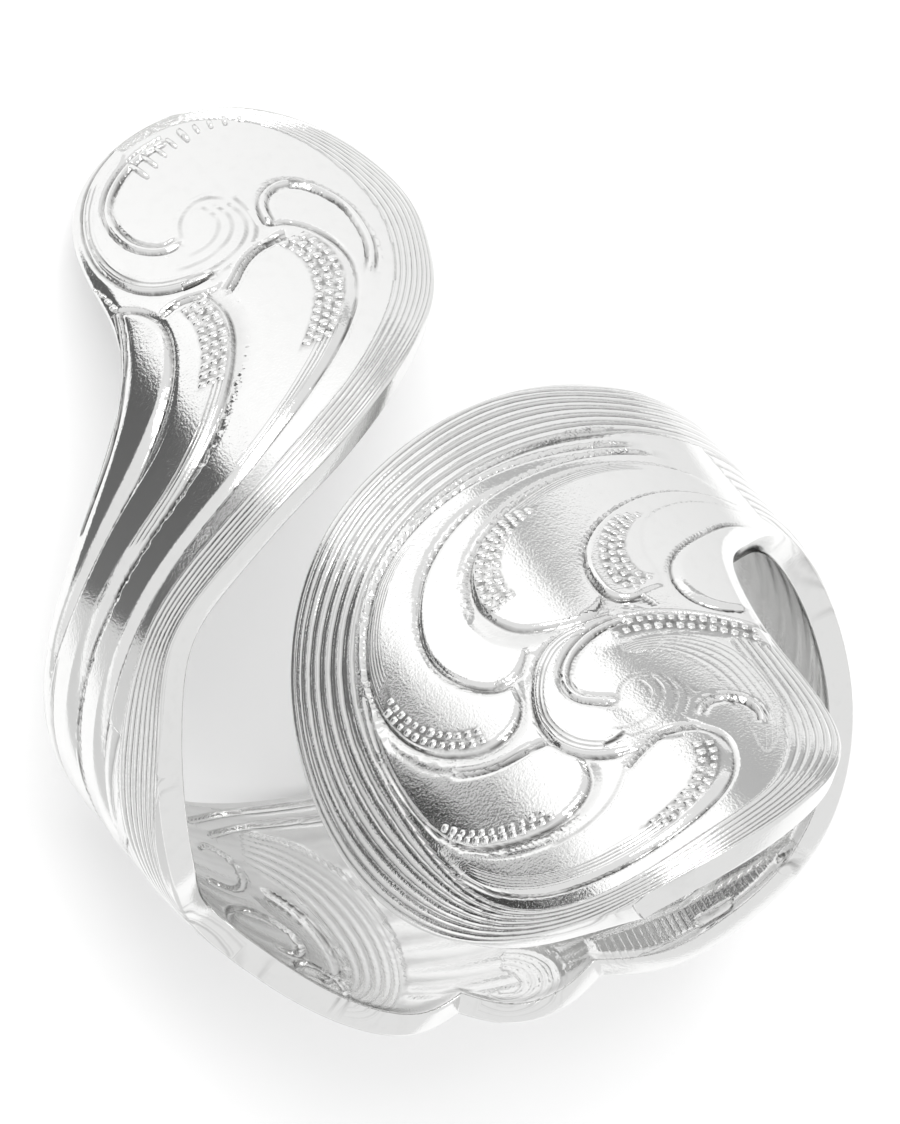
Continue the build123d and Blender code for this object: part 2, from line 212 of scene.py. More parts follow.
@dataclass
class Swath:
    """Part of the ornament between two edges: a leaf, a scroll's band or a field of reeds.

    Attributes:
        leading: Edge that stands highest, with a groove outside it.
        trailing: Edge that sinks under what lies next to it.
        form: Cross-section.
        crest: Height of the leading side, millimetres.
        foot: Height of the trailing side, millimetres.
        groove: Width of the groove outside the leading edge, millimetres.
        reeds: Number of reeds across, for a field of them.
        hatch: Where it is cross-hatched: from and to, in millimetres in from the leading edge and along it.
        lines: Where fine lines run along it, in the same way.
        fade: Length over which its end melts away, millimetres.
        reed_depth: Depth of the valleys between reeds, millimetres.
        reed_shade: How dark the painted shade in those valleys is, as a share.
        reed_gather: How far the reeds crowd toward the leading edge; 1 spaces them evenly.
        bevel: Width of the slope up from the leading edge, at its start and at its end, millimetres.
        inking: How dark the painted shade line along its edge is, as a share.
        soft_edge: Distance over which its edges fade, millimetres.
        stations: Number of places along it at which its edges are matched.
        knots_per_point: How many knots a stroke's edges have for each point of its line.
        batch: How many points are drawn at once.
        margin: How far past its edges it can leave a mark, millimetres.
        window_border: Softness of the border of a hatched or lined stretch, millimetres.
        ink_reach: Distances from an edge between which its painted shade line fades, millimetres.
        line_reach: The same for a swath that is only a line.
        wipe_reach: Distance past an edge over which older painted edge shade is wiped out, millimetres.
        touching: How far past an edge a point still takes painted edge shade, millimetres.
        firm: How much of its strength its end has left where it stops counting as an edge.
        groove_reach: Where the slope of a groove ends, in widths of the groove.
        groove_depth: Share of the height that a groove takes away.
        groove_shade: How dark the painted shade at a groove's bottom is, as a share.
        valley_power: How narrow the valleys between reeds are.
        bevel_change: Shares of its length between which the bevel goes from its first width to its last.
        bevel_lip: How far outside the edge the bevel starts, millimetres.
        slope_power: How evenly a leaf falls from its leading side to its trailing one; 1 is even.
    """

    leading: Points
    trailing: Points
    form: Form = Form.LEAF
    crest: float = 0.18
    foot: float = 0.12
    groove: float = 0.1
    reeds: int = 0
    hatch: tuple[float, float, float, float] | None = None
    lines: tuple[float, float, float, float] | None = None
    fade: float = 1.5
    reed_depth: float = 0.03
    reed_shade: float = 1.0
    reed_gather: float = 0.75
    bevel: tuple[float, float] = (0.12, 0.12)
    inking: float = 1.0
    soft_edge: float = 0.05
    stations = 160
    knots_per_point = 3
    batch = 6000
    margin = 0.5
    window_border = 0.06
    ink_reach = (0.12, 0.25)
    line_reach = (0.1, 0.2)
    wipe_reach = 0.3
    touching = 0.001
    firm = 0.3
    groove_reach = 1.7
    groove_depth = 0.9
    groove_shade = 0.3
    valley_power = 1.5
    bevel_change = (0.15, 0.45)
    bevel_lip = 0.04
    slope_power = 0.8

    @classmethod
    def stroke(cls, line: Points, width: float, **settings) -> "Swath":
        """A narrow swath along a line, which is a ridge if nothing else is said.

        Args:
            line: Flat points that its middle follows.
            width: Its width, millimetres.
            **settings: Other fields of the swath.

        Returns:
            The swath.
        """
        knots = len(line) * cls.knots_per_point
        curve = FlatCurve(line)
        middle = curve.at(np.linspace(0.0, 1.0, knots))
        along = np.gradient(middle, axis=0)
        aside = np.stack([-along[:, 1], along[:, 0]], axis=-1) / np.hypot(*along.T)[:, None] * width / 2.0
        edges = ([tuple(place) for place in edge] for edge in (middle + aside, middle - aside))
        return cls(*edges, **(RIDGE | settings))

    def __post_init__(self) -> None:
        """Reads both edges at matching stations."""
        shares = np.linspace(0.0, 1.0, self.stations)
        self.edge_a = FlatCurve(self.leading).at(shares)
        self.edge_b = FlatCurve(self.trailing).at(shares)
        middle = (self.edge_a + self.edge_b) / 2.0
        self.run = running_length(middle)

    def locate(self, x: np.ndarray, z: np.ndarray) -> tuple[np.ndarray, np.ndarray, np.ndarray, np.ndarray]:
        """Finds flat points on the swath.

        Args:
            x: Distances round the ring, millimetres.
            z: Heights, millimetres.

        Returns:
            Distance along the swath, share across it, its width there, and how far a point is past
            either end.
        """
        place = np.stack([x, z], axis=-1)
        ruler = self.edge_b - self.edge_a
        width = np.hypot(*ruler.T) + 1e-6
        ray = ruler / width[:, None]
        offset = place[:, None, :] - self.edge_a[None, :, :]
        inward = np.einsum("psk,sk->ps", offset, ray)
        sideways = offset[..., 0] * ray[:, 1] - offset[..., 1] * ray[:, 0]
        outside = np.maximum(np.maximum(-inward, inward - width), 0.0)
        station = np.argmin(sideways**2 + outside**2, axis=1)
        rows = np.arange(len(place))
        here = sideways[rows, station]
        ahead = np.clip(station + 1, 0, self.stations - 1)
        behind = np.where(station > 0, station - 1, 1)
        next_one = sideways[rows, ahead]
        forward = (here * next_one <= 0.0) & (ahead != station)
        other = np.where(forward, ahead, behind)
        there = sideways[rows, other]
        gap = here - there
        share = np.where(np.abs(gap) > 1e-9, here / np.where(np.abs(gap) > 1e-9, gap, 1.0), 0.0)
        beyond = np.maximum(-share, 0.0) * np.abs(self.run[other] - self.run[station])
        share = np.clip(share, 0.0, 1.0)
        start = self.edge_a[station] * (1 - share)[:, None] + self.edge_a[other] * share[:, None]
        end = self.edge_b[station] * (1 - share)[:, None] + self.edge_b[other] * share[:, None]
        ruler_here = end - start
        width_here = np.hypot(*ruler_here.T) + 1e-6
        across = np.einsum("pk,pk->p", place - start, ruler_here) / width_here**2
        along = self.run[station] * (1 - share) + self.run[other] * share
        return along, across, width_here, beyond

    def line_inside(self, inward: float, start: float, end: float) -> np.ndarray:
        """A line at one distance in from the leading edge.

        Args:
            inward: That distance, millimetres.
            start: Distance along the swath at which the line starts, millimetres.
            end: Distance at which it ends.

        Returns:
            Flat points of the line.
        """
        ruler = self.edge_b - self.edge_a
        places = self.edge_a + ruler / np.hypot(*ruler.T)[:, None] * inward
        return places[(self.run >= start) & (self.run <= end)]

    def window(self, span: tuple[float, ...], inward: np.ndarray, along: np.ndarray) -> np.ndarray:
        """How much a point is inside a stretch of the swath, with soft borders."""
        low, high, start, end = span
        soft = self.window_border
        ending = 4 * soft
        band = smooth_step(low - soft, low + soft, inward) - smooth_step(high - soft, high + soft, inward)
        started = smooth_step(start - soft, start + soft, along)
        stretch = started - smooth_step(end - ending, end + ending, along)
        return np.clip(band * stretch, 0.0, 1.0)

    def draw(self, x: np.ndarray, z: np.ndarray, surface: Surface) -> None:
        """Lays the swath over what is drawn so far.

        Args:
            x: Distances round the ring, millimetres.
            z: Heights, millimetres.
            surface: What is drawn so far, which is changed.
        """
        corners = np.concatenate([self.edge_a, self.edge_b])
        low_x, low_z = corners.min(axis=0) - self.margin
        high_x, high_z = corners.max(axis=0) + self.margin
        near = np.flatnonzero((x > low_x) & (x < high_x) & (z > low_z) & (z < high_z))
        for first in range(0, len(near), self.batch):
            self._draw_batch(x, z, surface, near[first:first + self.batch])

    def _draw_batch(self, x: np.ndarray, z: np.ndarray, surface: Surface, rows: np.ndarray) -> None:
        """Lays the swath over one batch of points."""
        along, across, width, beyond = self.locate(x[rows], z[rows])
        inward = across * width
        spare = np.minimum(inward, width - inward)
        melt = 1.0 - smooth_step(0.0, 2.0 * self.soft_edge, beyond)
        if self.fade:
            melt = (1.0 - smooth_step(self.run[-1] - self.fade, self.run[-1], along)) * melt
        if self.form is Form.LINE:
            self._draw_line(surface, rows, np.abs(inward - width / 2.0), melt)
            return
        if self.form is not Form.REEDS:
            self._draw_groove(surface, rows, inward, width, melt)
        cover = smooth_step(-self.soft_edge, self.soft_edge, spare) * melt
        inside = cover > 0.0
        picked = rows[inside]
        along, across, inward, cover = along[inside], across[inside], inward[inside], cover[inside]
        spare = spare[inside] if self.form is not Form.LEAF else inward
        height = self.profile(np.clip(across, 0.0, 1.0), inward, along / self.run[-1])
        surface.height[picked] += (height - surface.height[picked]) * cover
        for layer in (surface.groove, surface.ink, surface.reeded, surface.hatch, surface.lines):
            layer[picked] *= 1.0 - cover
        mostly = cover > 0.5
        surface.across[picked[mostly]] = inward[mostly]
        surface.edge[picked[mostly]] = spare[mostly]
        for layer, span in ((surface.hatch, self.hatch), (surface.lines, self.lines)):
            if span:
                layer[picked] = np.maximum(layer[picked], cover * self.window(span, inward, along))
        if self.form is Form.REEDS:
            reed = self.reeds * np.clip(across, 0.0, 1.0)**self.reed_gather
            surface.reed[picked[mostly]] = reed[mostly]
            surface.reeded[picked] = np.maximum(surface.reeded[picked], self.reed_shade * cover)
        else:
            # Painted shade: a dark line along the swath's edges.
            ink = self.inking * melt[inside] * (1.0 - smooth_step(*self.ink_reach, spare))
            surface.ink[picked] = np.maximum(surface.ink[picked], ink * (spare > -self.touching))

    def _draw_line(
        self, surface: Surface, rows: np.ndarray, distance: np.ndarray, melt: np.ndarray
    ) -> None:
        """Paints a fine line of shade along the swath's middle and leaves the height as it is."""
        ink = self.inking * melt * (1.0 - smooth_step(*self.line_reach, distance))
        stronger = ink > surface.ink[rows]
        picked = rows[stronger]
        surface.edge[picked] = -distance[stronger]
        surface.ink[picked] = ink[stronger]

    def _draw_groove(
        self, surface: Surface, rows: np.ndarray, inward: np.ndarray, width: np.ndarray, melt: np.ndarray
    ) -> None:
        """Sinks the groove outside the leading edge, or outside both edges of a ridge, and paints shade in
        it and a shade line along the edge.
        """
        past = -inward if self.form is Form.LEAF else np.maximum(-inward, inward - width)
        reach = self.groove_reach * self.groove
        outside = (past > 0.0) & (past < max(reach, self.ink_reach[1]))
        picked = rows[outside]
        past, melt = past[outside], melt[outside]
        depth = (1.0 - smooth_step(0.0, reach, past)) * melt
        surface.height[picked] -= surface.height[picked] * self.groove_depth * depth
        # Painted shade at the groove's bottom.
        surface.groove[picked] = np.maximum(surface.groove[picked], self.groove_shade * depth)
        surface.edge[picked] = np.where(melt > self.firm, -past, surface.edge[picked])
        older = surface.ink[picked] * smooth_step(0.0, self.wipe_reach, past)
        newer = self.inking * melt * (1.0 - smooth_step(*self.ink_reach, past))
        surface.ink[picked] = np.maximum(older, newer)
        surface.hatch[picked] *= 1.0 - depth
        surface.lines[picked] *= 1.0 - depth

    def profile(self, across: np.ndarray, inward: np.ndarray, progress: np.ndarray) -> np.ndarray:
        """Height across the swath.

        Args:
            across: Shares from the leading edge to the trailing one.
            inward: Distances from the leading edge, millimetres.
            progress: Shares of the way along the swath.

        Returns:
            Heights above the outer radius, millimetres.
        """
        rise = self.crest - self.foot
        if self.form is Form.REEDS:
            level = self.crest + (self.foot - self.crest) * across
            phase = self.reeds * across**self.reed_gather
            return level - self.reed_depth * (0.5 + 0.5 * np.cos(2.0 * np.pi * phase)) ** self.valley_power
        if self.form is Form.ROUND:
            return self.foot + rise * np.sqrt(np.clip(1.0 - (2.0 * across - 1.0) ** 2, 0.0, 1.0))
        narrow, wide = self.bevel
        bevel = narrow + (wide - narrow) * smooth_step(*self.bevel_change, progress)
        climb = np.clip((inward + self.bevel_lip) / (bevel + self.bevel_lip), 0.0, 1.0)
        slope = self.foot + rise * (1.0 - across) ** self.slope_power
        return slope * climb * (1.5 - 0.5 * climb)


@dataclass(frozen=True)
class RingFrame:
    """Where the ring lies, which tells how flat points are wrapped round it.

    Attributes:
        middle: Point on the ring's axis, millimetres.
        start: Direction from the axis at which x is 0.
        side: Direction from the axis a quarter turn further.
        axis: Direction of the axis.
        middle_height: Value of z at the middle, millimetres.
        wall: Thickness of the strip, millimetres.
    """

    middle: np.ndarray
    start: np.ndarray
    side: np.ndarray
    axis: np.ndarray
    middle_height: float = 16.0
    wall: float = 0.8

    @classmethod
    def from_record(cls, record: dict) -> "RingFrame":
        """Reads the ring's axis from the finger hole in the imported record."""
        hole = next(mount for mount in record["mounts"] if mount["name"] == "finger_hole")
        axis = np.array(hole["axis"], float)
        axis *= np.sign(axis[2]) / np.linalg.norm(axis)
        start = np.cross((0.0, 1.0, 0.0), axis)
        start /= np.linalg.norm(start)
        return cls(np.array(hole["pos_m"], float) / MILLIMETRE, start, np.cross(axis, start), axis)

    def place(self, x: np.ndarray, z: np.ndarray, radius: np.ndarray) -> np.ndarray:
        """Wraps flat points round the axis.

        Args:
            x: Distances round the ring on its outer face, millimetres.
            z: Heights along the finger, millimetres.
            radius: Distances from the axis, millimetres.

        Returns:
            Places in the shared frame, metres.
        """
        turn = np.asarray(x)[..., None] / OUTER_RADIUS
        out = np.cos(turn) * self.start + np.sin(turn) * self.side
        along = np.asarray(z)[..., None] - self.middle_height
        return (self.middle + out * np.asarray(radius)[..., None] + along * self.axis) * MILLIMETRE


@dataclass(frozen=True)
class StudRow:
    """A row of small raised marks along a flat line.

    Attributes:
        line: Flat points that the row follows.
        spacing: Distance between two marks, millimetres.
        reach: Length of a mark across the row, at the row's start and at its end, millimetres.
        width: Its length along the row, millimetres.
        rise: Its thickness, millimetres.
        sink: How far its middle lies under the face, as a share of the thickness.
        samples: Number of points of the guide line.
    """

    line: Points
    spacing: float
    reach: tuple[float, float]
    width: float
    rise: float
    sink = 0.15
    samples = 120

    def guide(self, frame: RingFrame, layers: list[Swath]) -> tuple[np.ndarray, np.ndarray, np.ndarray]:
        """Where the row runs on the ring: places, directions away from the axis, and reaches, in metres."""
        x, z = FlatCurve(self.line, self.samples).places.T
        radius = OUTER_RADIUS + Surface.drawn(layers, x, z).height - self.sink * self.rise
        places = frame.place(x, z, radius)
        out = (places - frame.place(x, z, radius - 1.0)) / MILLIMETRE
        return places, out, np.linspace(*self.reach, self.samples) * MILLIMETRE


def shifted(points: Points) -> Points:
    """Points of the large disc, whose x is measured from its own middle."""
    return [(x + LARGE_MIDDLE, z) for x, z in points]


def large_swath(leading: Points, trailing: Points, **settings) -> Swath:
    """A swath of the large disc, with both edges measured from the disc's own middle."""
    return Swath(shifted(leading), shifted(trailing), **settings)


def strokes(lines: Iterable[Points], **settings) -> list[Swath]:
    """Strokes of one kind along several lines."""
    return [Swath.stroke(line, **settings) for line in lines]


class LargeDisc:
    """Ornament of the large disc: reeds round its rim, leaves that fan out of a scroll, a hook over it."""

    reeds = large_swath(
        leading=[
            (-8.62, 24.7), (-8.6, 26.4), (-7.95, 29.8), (-5.6, 31.43), (-2.0, 31.93), (1.8, 30.75),
            (4.65, 27.6), (5.55, 24.0), (5.3, 22.0), (3.45, 18.35), (0.3, 15.65), (-3.0, 14.55),
            (-6.5, 14.05), (-9.5, 14.2), (-13.5, 13.75), (-20.0, 12.9),
        ],
        trailing=[
            (-7.15, 25.3), (-7.05, 26.8), (-6.6, 28.9), (-5.1, 30.6), (-3.0, 31.1), (0.0, 30.9),
            (1.8, 29.9), (2.85, 28.4), (3.2, 26.8), (3.2, 25.3), (3.0, 23.5), (2.55, 21.5), (1.5, 19.4),
            (0.0, 17.9), (-2.2, 16.85), (-5.0, 16.35), (-9.0, 16.3), (-13.5, 16.2), (-20.0, 15.2),
        ],
        form=Form.REEDS, crest=0.075, foot=0.15, reeds=7, reed_depth=0.045, fade=5.0,
    )
    body = large_swath(
        leading=[
            (-4.7, 24.15), (-5.6, 24.35), (-6.5, 24.8), (-7.1, 25.5), (-7.25, 26.6), (-7.1, 28.0),
            (-6.6, 28.9), (-5.5, 30.2), (-4.2, 30.95),
        ],
        trailing=[
            (-4.7, 24.6), (-5.2, 24.9), (-5.6, 25.4), (-5.9, 26.2), (-6.0, 27.0), (-5.9, 28.0),
            (-5.6, 28.9), (-5.0, 29.8), (-4.0, 30.6),
        ],
        form=Form.REEDS, crest=0.1, foot=0.1, reeds=6, reed_depth=0.006, reed_shade=0.3, fade=4.0,
        soft_edge=0.5,
    )
    hatched_rim = large_swath(
        leading=[
            (-8.55, 25.05), (-7.4, 24.3), (-6.3, 23.72), (-5.3, 23.35), (-4.4, 23.2), (-3.7, 23.25),
        ],
        trailing=[
            (-8.2, 25.7), (-7.1, 25.0), (-6.1, 24.5), (-5.2, 24.2), (-4.4, 24.1), (-3.8, 24.05),
        ],
        crest=0.18, foot=0.11, groove=0.09, hatch=(0.08, 0.7, 0.4, 4.4), fade=0.8,
    )
    bowl_lip = Swath.stroke(shifted([
        (-4.9, 23.32), (-4.2, 23.3), (-3.5, 23.45), (-2.95, 23.75), (-2.55, 24.2), (-2.42, 24.7),
        (-2.55, 25.15), (-2.9, 25.5), (-3.35, 25.85),
    ]), 0.2)
    bowl_line = Swath.stroke(
        shifted([(-3.3, 25.75), (-3.6, 25.42), (-4.1, 25.3), (-4.5, 25.5), (-4.85, 25.85)]), **FAINT
    )
    scroll = large_swath(
        leading=[
            (-4.7, 22.98), (-3.6, 22.85), (-2.7, 23.0), (-2.0, 23.5), (-1.45, 24.3), (-1.15, 25.2),
            (-1.25, 26.2), (-1.75, 27.0), (-2.6, 27.5), (-3.6, 27.6),
        ],
        trailing=[
            (-4.5, 23.3), (-3.5, 23.5), (-2.85, 23.8), (-2.5, 24.2), (-2.35, 24.7), (-2.45, 25.15),
            (-2.7, 25.6), (-3.0, 25.95), (-3.4, 26.3),
        ],
        crest=0.19, foot=0.13, groove=0.09, lines=(0.12, 0.5, 0.8, 5.5), fade=1.2,
    )
    leaf_over_top = large_swath(
        leading=[
            (-4.0, 27.65), (-4.6, 27.9), (-4.93, 28.4), (-4.8, 29.2), (-4.25, 29.9), (-3.4, 30.35),
            (-2.2, 30.6), (-0.8, 30.55), (0.4, 30.2), (1.5, 29.55), (2.3, 28.7), (2.8, 27.8), (3.05, 26.8),
            (3.12, 25.8),
        ],
        trailing=[
            (-3.7, 27.7), (-3.4, 27.6), (-3.0, 27.65), (-2.5, 27.75), (-2.1, 27.95), (-1.6, 28.35),
            (-0.9, 28.65), (0.0, 28.65), (0.8, 28.4), (1.5, 28.0), (2.1, 27.4), (2.55, 26.7), (2.85, 26.0),
            (3.0, 25.3),
        ],
        groove=0.1, hatch=(0.34, 1.0, 0.6, 3.6), lines=(0.3, 0.85, 3.2, 8.5), bevel=(0.32, 0.2),
    )
    leaf_upper = large_swath(
        leading=[
            (-0.95, 25.75), (-1.35, 26.3), (-1.45, 27.0), (-1.15, 27.7), (-0.4, 28.05), (0.5, 27.95),
            (1.4, 27.5), (2.15, 26.85), (2.65, 26.0), (2.88, 25.0), (2.88, 24.0), (2.7, 22.7), (2.35, 21.5),
            (1.75, 20.2), (1.0, 19.1), (-0.1, 18.05), (-1.6, 17.2), (-3.6, 16.65), (-6.5, 16.35),
            (-10.0, 16.3),
        ],
        trailing=[
            (-0.6, 25.5), (-0.3, 25.45), (0.1, 25.35), (0.5, 25.2), (0.9, 24.95), (1.3, 24.65),
            (1.65, 24.3), (1.95, 23.85), (2.15, 23.3), (2.25, 22.7), (2.28, 22.0), (2.15, 21.2),
            (1.9, 20.5), (1.45, 19.6), (0.75, 18.75), (-0.3, 17.85), (-1.8, 17.1), (-3.8, 16.85),
            (-6.5, 16.75), (-10.0, 16.8),
        ],
        groove=0.3, hatch=(0.12, 0.75, 2.0, 5.2), lines=(0.08, 0.6, 5.6, 8.5), bevel=(0.12, 0.6),
    )
    leaf_lower = large_swath(
        leading=[
            (-1.3, 23.55), (-1.15, 24.15), (-0.65, 24.65), (0.0, 24.75), (0.7, 24.45), (1.3, 23.85),
            (1.75, 23.0), (1.95, 22.0), (1.85, 21.0), (1.45, 19.95), (0.8, 19.0), (-0.15, 18.1),
            (-1.4, 17.45), (-3.2, 16.95), (-5.7, 16.8), (-10.0, 16.9),
        ],
        trailing=[
            (-1.0, 23.45), (-0.75, 23.25), (-0.5, 22.95), (-0.25, 22.55), (-0.1, 22.1), (0.0, 21.6),
            (0.0, 21.1), (-0.1, 20.5), (-0.35, 19.9), (-0.75, 19.2), (-1.3, 18.6), (-2.0, 18.1),
            (-3.0, 17.65), (-4.4, 17.4), (-6.5, 17.3), (-10.0, 17.4),
        ],
        groove=0.26, hatch=(0.12, 0.8, 1.3, 4.6), lines=(0.1, 0.85, 4.9, 8.5), bevel=(0.12, 0.3),
    )
    leaf_smooth = large_swath(
        leading=[
            (-2.15, 22.8), (-1.75, 23.2), (-1.15, 23.35), (-0.6, 22.95), (-0.2, 22.2), (-0.03, 21.3),
            (-0.2, 20.4), (-0.7, 19.5), (-1.5, 18.7), (-2.8, 17.95), (-4.6, 17.45), (-7.0, 17.2),
            (-10.5, 17.3),
        ],
        trailing=[
            (-2.2, 22.6), (-1.95, 22.3), (-1.7, 22.0), (-1.55, 21.6), (-1.5, 21.1), (-1.55, 20.6),
            (-1.75, 20.0), (-2.2, 19.3), (-2.9, 18.7), (-4.0, 18.15), (-5.4, 17.75), (-7.5, 17.6),
            (-10.5, 17.9),
        ],
        groove=0.16, bevel=(0.12, 0.25),
    )
    leaf_wide = large_swath(
        leading=[
            (-4.9, 22.3), (-4.45, 22.65), (-3.7, 22.7), (-3.0, 22.45), (-2.4, 22.05), (-2.08, 21.45),
            (-1.95, 20.8), (-2.1, 20.1), (-2.6, 19.3), (-3.5, 18.65), (-4.8, 18.1), (-6.4, 17.75),
            (-8.4, 17.7), (-11.0, 18.1),
        ],
        trailing=[
            (-4.92, 22.2), (-4.92, 22.0), (-4.92, 21.8), (-4.92, 21.5), (-4.98, 21.2), (-5.1, 20.9),
            (-5.3, 20.5), (-5.6, 20.1), (-6.0, 19.7), (-6.6, 19.3), (-7.4, 18.95), (-8.4, 18.7),
            (-9.6, 18.55), (-11.5, 18.7),
        ],
        foot=0.1, groove=0.4, hatch=(0.12, 1.0, 2.2, 5.2), lines=(0.1, 0.7, 5.4, 8.5),
    )
    leaf_hatched = large_swath(
        leading=[
            (-6.0, 22.65), (-5.5, 22.75), (-5.12, 22.5), (-4.98, 21.9), (-5.08, 21.2), (-5.45, 20.5),
            (-6.1, 19.9), (-7.1, 19.4), (-8.4, 19.05), (-10.2, 19.0), (-12.0, 19.3),
        ],
        trailing=[
            (-6.6, 22.5), (-6.75, 22.2), (-6.8, 21.8), (-6.85, 21.3), (-7.0, 20.9), (-7.3, 20.4),
            (-7.7, 20.0), (-8.3, 19.7), (-9.3, 19.45), (-10.6, 19.4), (-12.2, 19.6),
        ],
        groove=0.12, hatch=(0.42, 1.35, 0.3, 3.4),
    )
    leaf_dark = large_swath(
        leading=[
            (-8.3, 24.1), (-7.7, 23.95), (-7.15, 23.45), (-7.0, 22.8), (-7.2, 22.1), (-7.9, 21.4),
            (-9.0, 20.85), (-10.3, 20.35), (-11.8, 20.2),
        ],
        trailing=[
            (-8.5, 24.0), (-8.55, 23.7), (-8.65, 23.3), (-8.8, 22.9), (-9.05, 22.4), (-9.5, 21.8),
            (-10.1, 21.3), (-11.0, 20.85), (-12.0, 20.6),
        ],
        groove=0.1, bevel=(0.32, 0.3),
    )
    hook = Swath.stroke(shifted([
        (-6.3, 28.35), (-6.4, 27.95), (-6.25, 27.5), (-5.85, 27.17), (-5.4, 27.07), (-5.05, 27.2),
        (-4.8, 27.5),
    ]), 0.17, crest=0.19)
    lips = strokes(map(shifted, [
        [(-4.5, 27.8), (-4.0, 27.56), (-3.5, 27.5), (-3.0, 27.62), (-2.5, 27.78), (-2.1, 27.98)],
        [(-0.95, 25.68), (-0.4, 25.52), (0.2, 25.37), (0.9, 25.0), (1.5, 24.45)],
    ]), width=0.1)
    lip_line = Swath.stroke(
        shifted([(-2.15, 27.95), (-1.6, 28.38), (-0.9, 28.66), (0.0, 28.68), (0.8, 28.45)]), **FAINT
    )
    curl_lines = strokes(map(shifted, [
        [(-4.95, 26.0), (-4.98, 26.5), (-4.6, 27.1), (-3.9, 27.5), (-3.2, 27.62)],
        [(-4.1, 25.55), (-4.15, 25.95), (-3.95, 26.25), (-3.6, 26.4), (-3.2, 26.3)],
        [(-4.4, 25.5), (-4.45, 26.1), (-4.1, 26.6), (-3.5, 26.8), (-2.9, 26.7), (-2.5, 26.45)],
        [(-4.68, 25.62), (-4.75, 26.2), (-4.4, 26.85), (-3.7, 27.15), (-3.0, 27.1), (-2.4, 26.8)],
        [(-5.3, 26.95), (-5.2, 26.6), (-5.08, 26.2)],
        [(-1.55, 26.2), (-1.42, 25.5), (-1.5, 24.8), (-1.85, 24.1), (-2.4, 23.5)],
    ]), **FAINT)
    # Short dark strokes that paint dark reflections into the silver.
    tarnish = strokes(map(shifted, [
        [(-2.8, 26.88), (-2.45, 26.95), (-2.1, 26.88)],
        [(-4.0, 27.9), (-3.65, 27.74), (-3.3, 27.5)],
        [(-1.2, 23.25), (-1.0, 23.3), (-0.8, 23.36)],
        [(-6.0, 27.15), (-5.88, 27.4), (-5.8, 27.7)],
    ]), **DARK_REFLECTION)
    layers = [
        reeds, body, leaf_over_top, leaf_upper, leaf_lower, leaf_smooth, leaf_wide, leaf_hatched, leaf_dark,
        hatched_rim, scroll, *curl_lines, bowl_lip, bowl_line, hook, *lips, lip_line, *tarnish,
    ]


